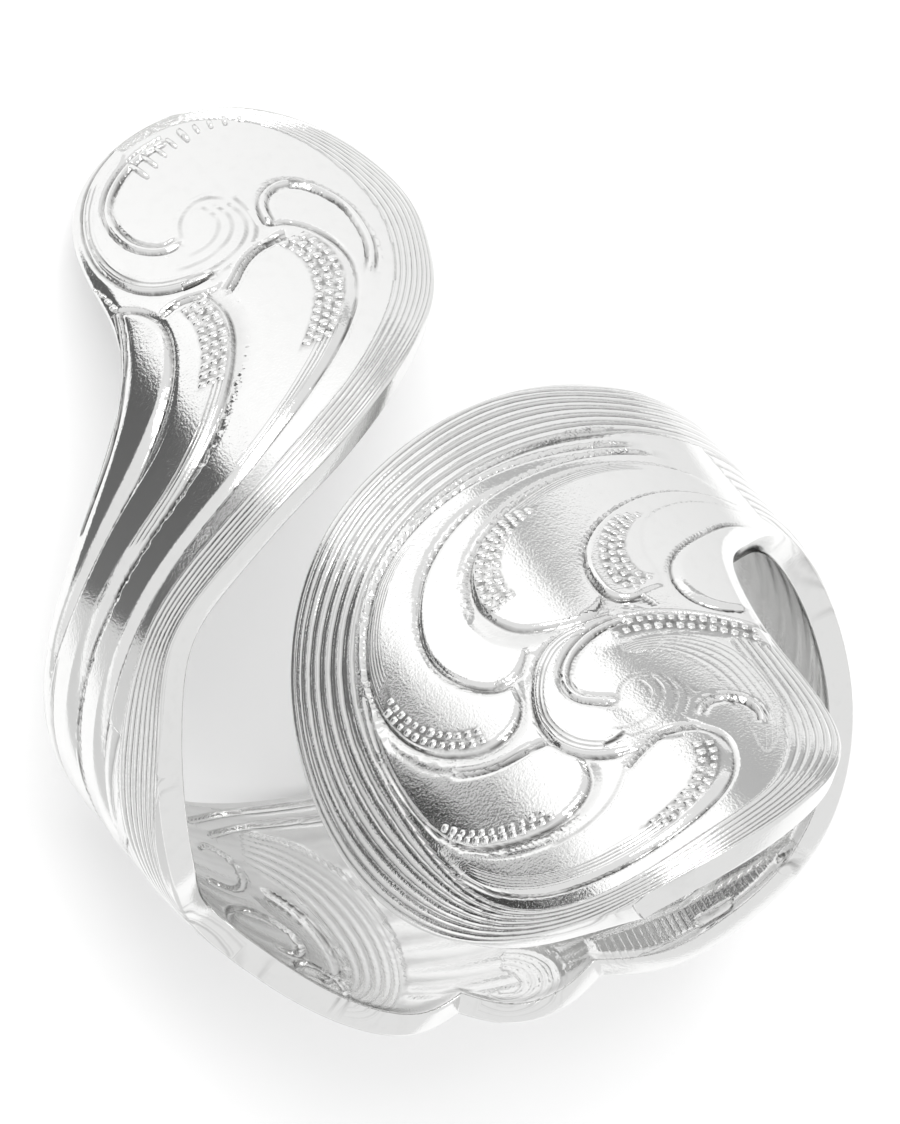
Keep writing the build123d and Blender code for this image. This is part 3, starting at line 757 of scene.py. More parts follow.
class SmallDisc:
    """Ornament of the small disc and its neck: reeds round its rim, a scroll, a hook and three leaves."""

    reeds = Swath(
        leading=[
            (-2.1, 0.32), (-4.2, 0.18), (-6.15, 0.82), (-7.95, 2.25), (-8.85, 4.1), (-9.0, 5.0),
            (-8.45, 7.15), (-7.15, 9.55), (-5.5, 11.2), (-3.5, 12.5), (-1.5, 13.3), (0.5, 13.7),
            (3.0, 13.85), (5.5, 13.95), (8.0, 15.0), (12.0, 15.6), (20.0, 16.5),
        ],
        trailing=[
            (-2.5, 0.62), (-4.1, 0.62), (-5.7, 1.3), (-6.95, 2.7), (-7.45, 4.2), (-7.55, 5.4), (-7.2, 7.1),
            (-6.2, 9.0), (-4.9, 10.4), (-3.2, 11.6), (-1.4, 12.35), (0.5, 12.8), (3.0, 12.95), (5.5, 13.0),
            (8.0, 13.4), (12.0, 13.7), (20.0, 14.0),
        ],
        form=Form.REEDS, crest=0.02, foot=0.14, reeds=8, fade=5.0,
    )
    leaf_outer = Swath(
        leading=[
            (-4.4, 5.35), (-4.95, 5.65), (-5.35, 6.15), (-5.6, 6.8), (-5.65, 7.4), (-5.45, 8.2),
            (-5.0, 9.0), (-4.2, 9.9), (-3.0, 10.8), (-1.2, 11.7), (1.0, 12.3), (4.0, 12.5), (8.0, 12.7),
            (12.0, 12.8), (18.0, 12.6),
        ],
        trailing=[
            (-4.2, 5.75), (-3.5, 6.0), (-2.9, 6.4), (-2.5, 7.0), (-2.3, 7.7), (-2.0, 8.5), (-1.5, 9.2),
            (-0.7, 9.95), (0.6, 10.8), (2.2, 11.2), (5.0, 11.4), (8.0, 11.5), (12.0, 11.6), (18.0, 11.5),
        ],
        crest=0.2, groove=0.08, hatch=(0.32, 1.25, 0.7, 4.8), lines=(0.3, 0.75, 4.4, 9.0), fade=5.0,
        bevel=(0.3, 0.6),
    )
    leaf_middle = Swath(
        leading=[
            (-1.7, 6.45), (-1.8, 7.2), (-1.65, 7.95), (-1.2, 8.75), (-0.5, 9.55), (0.6, 10.35),
            (2.0, 10.95), (4.0, 11.2), (8.0, 11.3), (12.0, 11.2), (18.0, 10.8),
        ],
        trailing=[
            (-0.4, 6.15), (-0.3, 6.8), (-0.1, 7.5), (0.3, 8.1), (0.9, 8.8), (1.8, 9.45), (3.0, 9.8),
            (5.0, 10.0), (8.0, 10.1), (12.0, 10.0), (18.0, 9.7),
        ],
        groove=0.42, hatch=(0.12, 0.95, 0.2, 3.0), lines=(0.1, 0.5, 3.0, 8.0), fade=5.0, bevel=(0.12, 0.6),
    )
    leaf_inner = Swath(
        leading=[
            (0.5, 5.1), (0.12, 5.5), (-0.13, 6.0), (-0.18, 6.6), (0.0, 7.2), (0.6, 8.1), (1.7, 9.0),
            (3.0, 9.6), (4.5, 9.9), (6.5, 10.05), (9.0, 9.9), (12.0, 9.6),
        ],
        trailing=[
            (0.55, 5.12), (0.75, 5.6), (1.05, 6.1), (1.45, 6.65), (1.95, 7.2), (2.7, 7.8), (3.6, 8.3),
            (4.6, 8.65), (6.0, 9.0), (8.0, 9.2), (10.0, 9.2), (12.5, 9.1),
        ],
        crest=0.18, foot=0.1, groove=0.1, fade=4.0, bevel=(0.16, 0.55),
    )
    hook = Swath.stroke([
        (-4.45, 5.2), (-4.55, 4.7), (-4.9, 4.25), (-5.4, 4.1), (-5.95, 4.3), (-6.4, 4.85), (-6.68, 5.6),
        (-6.68, 6.4), (-6.5, 7.2), (-6.15, 7.9), (-5.7, 8.5),
    ], 0.22, crest=0.19, fade=0.8)
    lips = strokes([
        [(-4.5, 6.02), (-4.1, 5.98), (-3.7, 6.0), (-3.1, 6.2), (-2.6, 6.55), (-2.1, 6.85)],
        [(-1.7, 6.5), (-1.3, 6.3), (-0.8, 6.15), (-0.3, 6.2)],
    ], width=0.1)
    long_lip = Swath.stroke([
        (0.52, 5.15), (0.8, 5.75), (1.2, 6.4), (1.9, 7.2), (2.8, 7.95), (4.0, 8.55), (5.6, 9.0),
    ], 0.14)
    curl_lines = strokes([
        [(-4.1, 4.0), (-4.15, 4.9), (-3.8, 5.6), (-3.1, 6.0), (-2.3, 6.08)],
        [(-3.5, 3.9), (-3.62, 4.5), (-3.35, 5.05), (-2.8, 5.35), (-2.1, 5.4), (-1.4, 5.2)],
        [(-3.2, 3.8), (-3.3, 4.4), (-3.0, 4.85), (-2.5, 5.05), (-1.9, 5.0)],
        [(-3.85, 4.1), (-3.92, 4.8), (-3.6, 5.4), (-2.9, 5.75), (-2.0, 5.8), (-1.2, 5.55)],
        [(-0.35, 2.0), (-0.1, 2.9), (-0.15, 4.0), (-0.6, 5.0)],
    ], **FAINT)
    bowl_lip = Swath.stroke([
        (-3.5, 0.98), (-2.9, 1.02), (-2.3, 1.17), (-1.5, 1.6), (-1.02, 2.15), (-0.87, 2.85), (-0.95, 3.5),
        (-1.25, 4.05), (-1.7, 4.38), (-2.15, 4.35),
    ], 0.2)
    bowl_line = Swath.stroke([
        (-2.2, 4.3), (-2.35, 3.95), (-2.65, 3.65), (-3.1, 3.48), (-3.55, 3.58), (-3.9, 3.9),
    ], **FAINT)
    scroll = Swath(
        leading=[
            (-2.3, 0.42), (-1.4, 0.8), (-0.5, 1.6), (0.08, 2.9), (0.0, 4.3), (-0.6, 5.35), (-1.7, 5.95),
            (-2.7, 6.05),
        ],
        trailing=[
            (-2.45, 0.75), (-1.9, 1.25), (-1.3, 2.0), (-0.95, 2.9), (-1.0, 3.6), (-1.35, 4.15),
            (-1.75, 4.5), (-2.2, 4.75),
        ],
        crest=0.165, foot=0.13, groove=0.08, lines=(0.1, 0.4, 1.2, 6.0), fade=1.4,
    )
    # Short dark strokes that paint dark reflections into the silver.
    tarnish = strokes([
        [(-2.2, 5.98), (-1.7, 5.96), (-1.2, 5.82)],
        [(-4.3, 5.93), (-4.0, 5.97), (-3.7, 5.95)],
        [(-0.95, 6.1), (-0.65, 6.13), (-0.4, 6.1)],
        [(-6.3, 4.4), (-5.95, 4.3), (-5.6, 4.1)],
    ], **DARK_REFLECTION)
    layers = [
        reeds, leaf_outer, leaf_middle, leaf_inner, scroll, *curl_lines, bowl_lip, bowl_line, hook, *lips,
        long_lip, *tarnish,
    ]
    ticks = StudRow(
        [(-2.45, 1.5), (-3.2, 1.3), (-4.2, 1.1), (-5.1, 1.12), (-5.8, 1.28)],
        spacing=0.41, reach=(0.9, 0.2), width=0.15, rise=0.3,
    )
    beads = StudRow(
        [(0.5, 4.85), (0.5, 4.6), (0.52, 4.3), (0.58, 3.95)],
        spacing=0.26, reach=(0.2, 0.12), width=0.2, rise=0.12,
    )


BAND_EDGES = {
    "leading": [
        (9.0, 15.6), (14.0, 15.4), (20.0, 16.8), (28.0, 18.6), (36.0, 19.6), (44.0, 19.5), (49.0, 19.4),
    ],
    "trailing": [
        (9.0, 9.4), (14.0, 9.0), (20.0, 8.9), (28.0, 9.9), (36.0, 10.4), (44.0, 12.6), (49.0, 14.0),
    ],
}


class Band:
    """Ornament of the band behind the finger: reeds along it, and an arch at the end of the leaves."""

    reeds = Swath(**BAND_EDGES, form=Form.REEDS, crest=0.12, foot=0.12, reeds=11, fade=0.0)
    arch = Swath(
        leading=[(8.6, 13.9), (9.2, 14.25), (10.2, 14.4), (11.6, 14.2), (13.4, 13.4), (15.0, 12.6)],
        trailing=[(8.6, 13.6), (9.4, 13.7), (10.2, 13.75), (11.4, 13.6), (13.2, 12.9), (15.0, 12.2)],
        crest=0.14, foot=0.08, groove=0.07, fade=2.0,
    )
    layers = [reeds, arch]


class Inside:
    """What the stamping leaves on the band's inner face: soft swirls, a small fan and feather strokes."""

    reeds = Swath(**BAND_EDGES, form=Form.REEDS, crest=0.08, foot=0.08, reeds=8, fade=0.0, reed_shade=0.3)
    arcs = Swath(
        leading=[
            (20.4, 18.3), (22.3, 17.9), (23.6, 16.4), (24.2, 14.2), (24.0, 12.2), (23.0, 10.6), (21.3, 9.9),
        ],
        trailing=[
            (20.5, 17.2), (21.2, 16.8), (21.8, 15.7), (22.0, 14.2), (21.8, 12.9), (21.3, 12.0),
            (20.7, 11.3),
        ],
        form=Form.REEDS, crest=0.16, foot=0.08, reeds=6, fade=0.8, reed_shade=0.35, reed_depth=0.06,
    )
    leaf = Swath(
        leading=[(20.3, 16.9), (21.0, 16.5), (21.5, 15.5), (21.6, 14.3), (21.3, 13.2), (20.6, 12.4)],
        trailing=[(20.0, 16.5), (20.2, 16.0), (20.3, 15.3), (20.3, 14.4), (20.1, 13.6), (19.8, 12.8)],
        crest=0.2, foot=0.05, groove=0.12, fade=0.6,
    )
    swirls = strokes([
        [
            (17.3, 16.6), (18.2, 17.4), (19.4, 17.8), (20.4, 17.6), (20.8, 16.9), (20.3, 16.2),
            (19.5, 16.2), (19.1, 16.7),
        ],
        [
            (17.2, 15.0), (18.1, 14.2), (19.3, 13.9), (20.2, 14.4), (20.4, 15.2), (19.8, 15.7),
            (19.1, 15.4),
        ],
        [(18.3, 12.8), (19.3, 12.9), (20.2, 12.3), (20.3, 11.4), (19.7, 10.9), (19.1, 11.3)],
        [(20.0, 9.7), (21.6, 9.3), (23.6, 9.3), (26.0, 9.7), (29.0, 10.4)],
        [(20.4, 10.3), (22.0, 9.9), (24.0, 10.0), (26.5, 10.6), (29.5, 11.4)],
    ], width=0.2, crest=0.18, foot=0.06, groove=0.1, inking=0.5, fade=0.8)
    fan = Swath(
        leading=[
            (24.7, 18.5), (25.3, 19.2), (26.3, 19.45), (27.4, 19.2), (27.9, 18.3), (27.5, 17.3),
            (26.6, 16.7),
        ],
        trailing=[
            (25.7, 18.2), (25.8, 18.4), (26.1, 18.5), (26.4, 18.4), (26.5, 18.1), (26.4, 17.8),
            (26.2, 17.6),
        ],
        form=Form.REEDS, crest=0.16, foot=0.1, reeds=5, fade=0.3, reed_shade=0.4, reed_depth=0.04,
    )
    feathers = Swath(
        leading=[(29.0, 18.2), (28.9, 18.7), (28.8, 19.3)],
        trailing=[(35.9, 20.75), (35.9, 20.95), (35.9, 21.15)],
        form=Form.REEDS, crest=0.12, foot=0.12, reeds=34, reed_gather=1.0, reed_depth=0.0, reed_shade=0.22,
        fade=0.0,
    )
    cups = strokes([
        [(x, z), (x + 0.5 * length, z + 0.2), (x + length, z + 0.35)]
        for x, z, length in ((31.9, 20.1, 1.2), (35.1, 20.8, 0.7))
    ], width=0.26, crest=0.3, foot=0.05, fade=0.2)
    layers = [reeds, arcs, leaf, *swirls, fan, feathers, *cups]


class Strip:
    """The stamped strip: its two rims, and the chords that join matching places on them.

    A disc's rims are held as shares of its reach, from its middle. The band's rims are held as degrees
    round the ring and shares of the band's width, from a middle line that climbs evenly. The stretches of
    the strip meet at the matches small_end and large_start. Both rims run along the band between the two
    limits in band_between. The places in large_matches have their x from the large disc's middle.
    """

    small_angle = -23.4
    small_middle = (small_angle * math.pi / 180.0 * OUTER_RADIUS, 6.0)
    small_reach = 5.0
    large_middle = (LARGE_MIDDLE, 25.0)
    large_reach = 10.0
    band_width = 10.0
    climb_start = 60.0
    climb_turn = 240.0
    climb_foot = 12.5
    climb = 5.0
    samples = 4000
    small_end = 10
    large_start = 24
    band_between = (8.0, LARGE_MIDDLE - 11.0)
    small_far = [
        (-0.04, -1.17), (0.36, -1.14), (0.74, -0.94), (0.92, -0.50), (0.98, -0.14), (1.10, 0.12),
        (1.40, 0.38), (1.80, 0.55), (2.40, 0.64),
    ]
    small_near = [
        (-0.04, -1.17), (-0.44, -1.05), (-0.80, -0.76), (-0.98, -0.38), (-0.98, 0.00), (-0.90, 0.24),
        (-0.64, 0.72), (-0.30, 1.06), (0.10, 1.32), (0.50, 1.48), (0.90, 1.55), (1.40, 1.58), (1.90, 1.60),
        (2.20, 1.72),
    ]
    band_far = [
        (75, -0.37), (100, -0.46), (125, -0.51), (150, -0.515), (178, -0.465), (203, -0.575), (222, -0.53),
        (240, -0.435), (262, -0.35), (283, -0.335),
    ]
    band_near_neck = [
        (62, 0.34), (75, 0.33), (88, 0.25), (100, 0.24), (112, 0.33), (122, 0.41), (133, 0.44),
    ]
    cusp_at_neck = (144, 0.375)
    band_near_middle = [(150, 0.455), (157, 0.475), (163, 0.455)]
    cusp_at_foot = (168, 0.42)
    band_near_foot = [
        (178, 0.515), (190, 0.55), (203, 0.56), (215, 0.54), (228, 0.48), (243, 0.38), (258, 0.28),
        (270, 0.235), (281, 0.245),
    ]
    large_far = [
        (-0.65, -1.10), (-0.30, -1.05), (0.03, -0.94), (0.35, -0.67), (0.53, -0.32), (0.55, 0.02),
        (0.34, 0.44), (0.00, 0.665),
    ]
    large_near = [
        (0.00, 0.665), (-0.30, 0.70), (-0.60, 0.635), (-0.79, 0.49), (-0.855, 0.27), (-0.865, 0.03),
        (-0.90, -0.17), (-0.98, -0.34), (-1.10, -0.42),
    ]
    small_matches = [
        ((-4.2, 0.15), (-4.2, 0.15)), ((-2.2, 0.3), (-6.2, 0.75)), ((-0.3, 1.3), (-8.0, 2.2)),
        ((0.6, 3.5), (-8.9, 4.1)), ((0.9, 5.3), (-8.5, 7.2)), ((1.5, 6.6), (-5.5, 11.3)),
        ((3.0, 7.9), (0.5, 13.75)), ((8.0, 9.2), (8.5, 15.5)),
    ]
    large_matches = [
        ((-6.5, 14.0), (-11.0, 20.6)), ((0.3, 15.6), (-9.4, 22.2)), ((3.5, 18.3), (-8.9, 23.5)),
        ((5.35, 22.0), (-8.7, 24.8)), ((5.6, 24.0), (-8.6, 26.5)), ((4.7, 27.6), (-7.9, 29.95)),
        ((1.8, 30.8), (-5.6, 31.5)), ((0.0, 31.65), (-3.0, 32.0)), ((0.0, 31.65), (0.0, 31.65)),
    ]
    band_angles = (
        64.0, 75.0, 88.0, 100.0, 112.0, 122.0, 133.0, 144.0, 156.0, 168.0, 178.0, 190.0, 203.0, 222.0,
        240.0, 258.0, 272.0, 283.0,
    )

    def __init__(self) -> None:
        """Fits both rims."""
        small = partial(self._disc, self.small_middle, self.small_reach)
        large = partial(self._disc, self.large_middle, self.large_reach)
        far = small(self.small_far) + self._band(self.band_far) + large(self.large_far)
        neck = small(self.small_near) + self._band([*self.band_near_neck, self.cusp_at_neck])
        middle = self._band([self.cusp_at_neck, *self.band_near_middle, self.cusp_at_foot])
        foot = self._band([self.cusp_at_foot, *self.band_near_foot]) + large(self.large_near)[::-1]
        self.far = FlatCurve(far, self.samples)
        self.near = FlatCurve(neck, self.samples)
        self.near.extend(FlatCurve(middle, self.samples), FlatCurve(foot, self.samples))

    @staticmethod
    def _disc(middle: tuple[float, float], reach: float, table: Points) -> Points:
        """Flat points of a disc's table."""
        return [(middle[0] + x * reach, middle[1] + z * reach) for x, z in table]

    def _band(self, table: Points) -> Points:
        """Flat points of a table of the band."""
        return [
            (
                math.radians(angle) * OUTER_RADIUS,
                self.climb_foot + self.climb * (angle - self.climb_start) / self.climb_turn
                + share * self.band_width,
            )
            for angle, share in table
        ]

    def matches(self) -> list[tuple[float, float]]:
        """Shares of the two rims that belong together, from the small disc's tip to the large one's."""
        pairs = [self._nearest(*places) for places in self.small_matches]
        for angle in self.band_angles:
            x = math.radians(angle) * OUTER_RADIUS
            pairs.append(tuple(self._share_at(rim, x) for rim in (self.far, self.near)))
        pairs += [self._nearest(*shifted(places)) for places in self.large_matches]
        pairs[0], pairs[-1] = (0.0, 0.0), (1.0, 1.0)
        return pairs

    def _nearest(self, far: tuple[float, float], near: tuple[float, float]) -> tuple[float, float]:
        """Shares of the two rims at which they come nearest to two places."""
        return self.far.share_near(far), self.near.share_near(near)

    def _share_at(self, rim: FlatCurve, x: float) -> float:
        """Share of a rim at which it passes a distance round the ring, on its way along the band."""
        start, end = self.band_between
        rows = np.flatnonzero((rim.places[:, 0] > start) & (rim.places[:, 0] < end))
        nearest = rows[int(np.argmin(np.abs(rim.places[rows, 0] - x)))]
        return float(rim.run[nearest] / rim.length)

    def chords(self, first: int, last: int | None, step: float) -> tuple[np.ndarray, np.ndarray]:
        """Ends of the chords between two of the matches.

        Args:
            first: Index of the first match.
            last: Index of the last one, or None for the strip's own end.
            step: Spacing along the strip, millimetres.

        Returns:
            Flat places on the far rim and on the near rim.
        """
        pairs = self.matches()[first:None if last is None else last + 1]
        far_shares, near_shares = [pairs[0][0]], [pairs[0][1]]
        for (far_a, near_a), (far_b, near_b) in zip(pairs, pairs[1:]):
            reach = max((far_b - far_a) * self.far.length, (near_b - near_a) * self.near.length)
            steps = max(2, round(reach / step))
            far_shares += list(np.linspace(far_a, far_b, steps + 1)[1:])
            near_shares += list(np.linspace(near_a, near_b, steps + 1)[1:])
        return self.far.at(np.array(far_shares)), self.near.at(np.array(near_shares))


@dataclass
class Skin:
    """One stretch of the strip as a closed mesh: its ornamented face, its rounded rims and its inner face.

    Attributes:
        name: Name of the piece.
        matches: First and last match of the strip's rims that it covers; None is the strip's own end.
        step: Spacing of its rows along the strip, millimetres.
        columns: Number of columns across its outer face.
        inner_columns: Number of columns across its inner face.
        layers: What is drawn on its outer face.
        inner_layers: What is drawn on its inner face.
        inner_depth: How deep the inner face is drawn, as a share of the outer face's relief.
        rim_round: Radius of the rounded rims, millimetres.
        rim_share: The same as a share of the chord, where the strip is narrow.
        rim_rows: Where the columns of a rounded rim lie, as shares of its radius.
        relief_start: Distance from the rim over which the ornament rises, millimetres.
    """

    name: str
    matches: tuple[int, int | None]
    step: float
    columns: int
    inner_columns: int
    layers: list[Swath]
    inner_layers: list[Swath] = field(default_factory=list)
    inner_depth = 0.9
    rim_round = 0.12
    rim_share = 0.2
    rim_rows = (0.0, 0.08, 0.22, 0.45, 0.72, 1.0)
    relief_start = 0.55

    def _radius(self, chord: np.ndarray) -> np.ndarray:
        """Radius of the rounded rims at each chord."""
        return np.minimum(self.rim_round, self.rim_share * chord)

    def across_shares(self, chord: np.ndarray, columns: int) -> np.ndarray:
        """Shares of each chord at which the columns lie, closer together at both rims."""
        rounding = self._radius(chord)[:, None] / np.maximum(chord, 1e-6)[:, None]
        rim = rounding * np.array(self.rim_rows)[None, :]
        inner = rounding + (1.0 - 2.0 * rounding) * np.linspace(0.0, 1.0, columns)[None, 1:-1]
        return np.concatenate([rim, inner, 1.0 - rim[:, ::-1]], axis=1)

    def rounding(self, distance: np.ndarray, chord: np.ndarray) -> np.ndarray:
        """How far the face has dropped at a distance from the rim."""
        radius = self._radius(chord)
        rest = np.clip(radius - distance, 0.0, None)
        return radius - np.sqrt(np.clip(radius**2 - rest**2, 0.0, None))

    def face(
        self, strip: Strip, frame: RingFrame, outer: bool
    ) -> tuple[np.ndarray, Surface, tuple[int, int]]:
        """Places and drawing of one face of the stretch.

        Args:
            strip: The strip.
            frame: Where the ring lies.
            outer: Whether it is the outer face.

        Returns:
            Places in metres, what is drawn there, and the numbers of rows and columns.
        """
        far, near = strip.chords(*self.matches, self.step)
        chord = np.hypot(*(near - far).T)
        share = self.across_shares(chord, self.columns if outer else self.inner_columns)
        flat = far[:, None, :] + (near - far)[:, None, :] * share[..., None]
        distance = np.minimum(share, 1.0 - share) * chord[:, None]
        drop = self.rounding(distance, chord[:, None])
        x, z = flat[..., 0], flat[..., 1]
        surface = Surface.drawn(self.layers if outer else self.inner_layers, x, z)
        relief = surface.height.reshape(x.shape) * smooth_step(0.0, self.relief_start, distance)
        if outer:
            radius = OUTER_RADIUS + relief - drop
        else:
            radius = OUTER_RADIUS - frame.wall + self.inner_depth * relief + drop
        return frame.place(x, z, radius), surface, x.shape


def add_object(name: str, data: bpy.types.ID) -> bpy.types.Object:
    """Adds an object to the scene."""
    added = bpy.data.objects.new(name, data)
    bpy.context.scene.collection.objects.link(added)
    return added


def write_layer(mesh: bpy.types.Mesh, name: str, values: np.ndarray) -> None:
    """Writes a number for each vertex of a mesh."""
    mesh.attributes.new(name, "FLOAT", "POINT").data.foreach_set("value", values)


def grid_faces(rows: int, columns: int, first: int, flip: bool) -> np.ndarray:
    """Quads of a grid of vertices."""
    corner = first + np.arange(rows - 1)[:, None] * columns + np.arange(columns - 1)[None, :]
    quads = np.stack([corner, corner + columns, corner + columns + 1, corner + 1], axis=-1).reshape(-1, 4)
    return quads[:, ::-1] if flip else quads


class SkinMaker:
    """Makes each stretch of the strip as one mesh."""

    merge_distance = 5e-8

    def __init__(self, strip: Strip, frame: RingFrame) -> None:
        """Keeps the strip and where the ring lies."""
        self.strip = strip
        self.frame = frame

    def make(self, skin: Skin, material: bpy.types.Material) -> bpy.types.Object:
        """Makes one stretch.

        Args:
            skin: The stretch.
            material: Its finish.

        Returns:
            The stretch's object.
        """
        outside, outer_drawing, (rows, columns) = skin.face(self.strip, self.frame, outer=True)
        inside, inner_drawing, (_, inner_columns) = skin.face(self.strip, self.frame, outer=False)
        places = np.concatenate([outside.reshape(-1, 3), inside.reshape(-1, 3)])
        below = rows * columns
        ring = np.arange(rows - 1)
        far_out, far_in = ring * columns, below + ring * inner_columns
        near_out, near_in = far_out + columns - 1, far_in + inner_columns - 1
        far_wall = np.stack([far_out + columns, far_out, far_in, far_in + inner_columns], axis=-1)
        near_wall = np.stack([near_out, near_out + columns, near_in + inner_columns, near_in], axis=-1)
        quads = np.concatenate([
            grid_faces(rows, columns, 0, False),
            grid_faces(rows, inner_columns, below, True),
            far_wall,
            near_wall,
        ])
        if self._faces_inward(outside):
            quads = quads[:, ::-1]
        mesh = bpy.data.meshes.new(skin.name)
        mesh.from_pydata(places.tolist(), [], quads.tolist())
        for name, outer_layer in outer_drawing.layers().items():
            write_layer(mesh, name, np.concatenate([outer_layer, inner_drawing.layers()[name]]))
        self._close_poles(mesh)
        mesh.shade_smooth()
        mesh.materials.append(material)
        return add_object(skin.name, mesh)

    def _faces_inward(self, outside: np.ndarray) -> bool:
        """Whether the outer face's quads, as numbered, point at the axis."""
        row, column = outside.shape[0] // 2, outside.shape[1] // 2
        corner, ahead, aside = outside[row, column], outside[row + 1, column], outside[row, column + 1]
        out = corner / MILLIMETRE - self.frame.middle
        out -= out.dot(self.frame.axis) * self.frame.axis
        return bool(np.cross(ahead - corner, aside - corner).dot(out) < 0.0)

    def _close_poles(self, mesh: bpy.types.Mesh) -> None:
        """Merges the places that coincide at a disc's tip."""
        editing = bmesh.new()
        editing.from_mesh(mesh)
        bmesh.ops.remove_doubles(editing, verts=editing.verts, dist=self.merge_distance)
        editing.to_mesh(mesh)
        editing.free()


def add_node(tree: bpy.types.NodeTree, kind: str, inputs: dict | None = None, **settings) -> bpy.types.Node:
    """Adds a node to a tree.

    Args:
        tree: The tree.
        kind: Type of the node.
        inputs: Values or links of its sockets, by name or index.
        **settings: Its settings.

    Returns:
        The node.
    """
    node = tree.nodes.new(kind)
    for name, value in settings.items():
        setattr(node, name, value)
    for key, value in (inputs or {}).items():
        if isinstance(value, Wire):
            value = value.socket
        if isinstance(value, bpy.types.NodeSocket):
            tree.links.new(value, node.inputs[key])
        else:
            node.inputs[key].default_value = value
    return node


class StudMaker:
    """Makes rows of marks with geometry nodes: one small dome set at even steps along each row's guide."""

    seed = 7
    size_range = (0.8, 1.12)
    crease = 0.45
    inputs = {
        "Guide": "Geometry", "Spacing": "Float", "Width": "Float", "Rise": "Float", "Finish": "Material",
    }

    def __init__(self, frame: RingFrame, layers: list[Swath], material: bpy.types.Material) -> None:
        """Keeps what the marks stand on, and builds the node tree."""
        self.frame = frame
        self.layers = layers
        self.material = material
        self.tree = bpy.data.node_groups.new("stud_row", "GeometryNodeTree")
        new_socket = self.tree.interface.new_socket
        self.sockets = {
            name: new_socket(name, in_out="INPUT", socket_type=f"NodeSocket{kind}").identifier
            for name, kind in self.inputs.items()
        }
        new_socket("Studs", in_out="OUTPUT", socket_type="NodeSocketGeometry")
        self._build_tree()

    def _build_tree(self) -> None:
        """Builds the tree: the guide, points along it, a dome on each, and the finish."""
        node = partial(add_node, self.tree)
        given = node("NodeGroupInput").outputs
        curve = node("GeometryNodeMeshToCurve", {"Mesh": given["Guide"]}).outputs["Curve"]
        points = node(
            "GeometryNodeCurveToPoints", {"Curve": curve, "Length": given["Spacing"]}, mode="LENGTH"
        ).outputs
        out = node("GeometryNodeInputNamedAttribute", data_type="FLOAT_VECTOR", inputs={"Name": "out"})
        reach = node("GeometryNodeInputNamedAttribute", data_type="FLOAT", inputs={"Name": "reach"})
        upright = node("FunctionNodeAlignRotationToVector", {"Vector": out.outputs["Attribute"]}, axis="Z")
        turned = node(
            "FunctionNodeAlignRotationToVector",
            {"Rotation": upright.outputs["Rotation"], "Vector": points["Tangent"]},
            axis="X", pivot_axis="Z",
        )
        size = node("ShaderNodeCombineXYZ", {
            "X": given["Width"], "Y": reach.outputs["Attribute"], "Z": given["Rise"],
        })
        smallest, largest = self.size_range
        chance = node("FunctionNodeRandomValue", data_type="FLOAT", inputs={
            "Min": smallest, "Max": largest, "Seed": self.seed,
        })
        scale = node("ShaderNodeVectorMath", operation="SCALE", inputs={
            0: size.outputs["Vector"], "Scale": next(o for o in chance.outputs if o.enabled),
        })
        block = node("GeometryNodeMeshCube", {"Size": (1.0, 1.0, 1.0)})
        dome = node("GeometryNodeSubdivisionSurface", {
            "Mesh": block.outputs["Mesh"], "Level": 1, "Edge Crease": self.crease,
        })
        studs = node("GeometryNodeInstanceOnPoints", {
            "Points": points["Points"],
            "Instance": dome.outputs["Mesh"],
            "Rotation": turned.outputs["Rotation"],
            "Scale": scale.outputs["Vector"],
        })
        real = node("GeometryNodeRealizeInstances", {"Geometry": studs.outputs["Instances"]})
        smooth = node("GeometryNodeSetShadeSmooth", {"Geometry": real.outputs["Geometry"]})
        finished = node("GeometryNodeSetMaterial", {
            "Geometry": smooth.outputs["Geometry"], "Material": given["Finish"],
        })
        node("NodeGroupOutput", {"Studs": finished.outputs["Geometry"]})

    def make(self, name: str, rows: list[StudRow]) -> bpy.types.Object:
        """Makes rows of marks of one kind as one piece.

        Args:
            name: Name of the piece.
            rows: The rows, which share their spacing, width and rise.

        Returns:
            The piece, as a plain mesh.
        """
        guides = [row.guide(self.frame, self.layers) for row in rows]
        places, out, reach = (np.concatenate(parts) for parts in zip(*guides))
        edges = [(i, i + 1) for i in range(len(places) - 1) if (i + 1) % StudRow.samples]
        mesh = bpy.data.meshes.new(name)
        mesh.from_pydata(places.tolist(), edges, [])
        mesh.attributes.new("out", "FLOAT_VECTOR", "POINT").data.foreach_set("vector", out.ravel())
        write_layer(mesh, "reach", reach)
        piece = add_object(name, mesh)
        modifier = piece.modifiers.new("studs", "NODES")
        modifier.node_group = self.tree
        values = {"Spacing": rows[0].spacing, "Width": rows[0].width, "Rise": rows[0].rise}
        for key, value in values.items():
            modifier[self.sockets[key]] = value * MILLIMETRE
        modifier[self.sockets["Finish"]] = self.material
        shown = piece.evaluated_get(bpy.context.evaluated_depsgraph_get())
        plain = bpy.data.meshes.new_from_object(shown)
        piece.modifiers.clear()
        piece.data = plain
        return piece


# Distance between two rows of bars in millimetres, what the bars are like, and how many stations of a swath
# there are to each point of a row.
HATCH_PITCH = 0.28
HATCH_BAR = {"spacing": 0.29, "reach": (0.28, 0.26), "width": 0.23, "rise": 0.08}
STATIONS_PER_POINT = 4


def hatch_rows(layers: list[Swath]) -> list[StudRow]:
    """Rows of short bars that fill the hatched stretches of the leaves."""
    rows = []
    for swath in layers:
        if swath.hatch:
            low, high, start, end = swath.hatch
            count = max(2, round((high - low) / HATCH_PITCH))
            for i in range(count):
                inward = low + (i + 0.5) * (high - low) / count
                line = swath.line_inside(inward, start, end)[::STATIONS_PER_POINT]
                rows.append(StudRow([tuple(place) for place in line], **HATCH_BAR))
    return rows


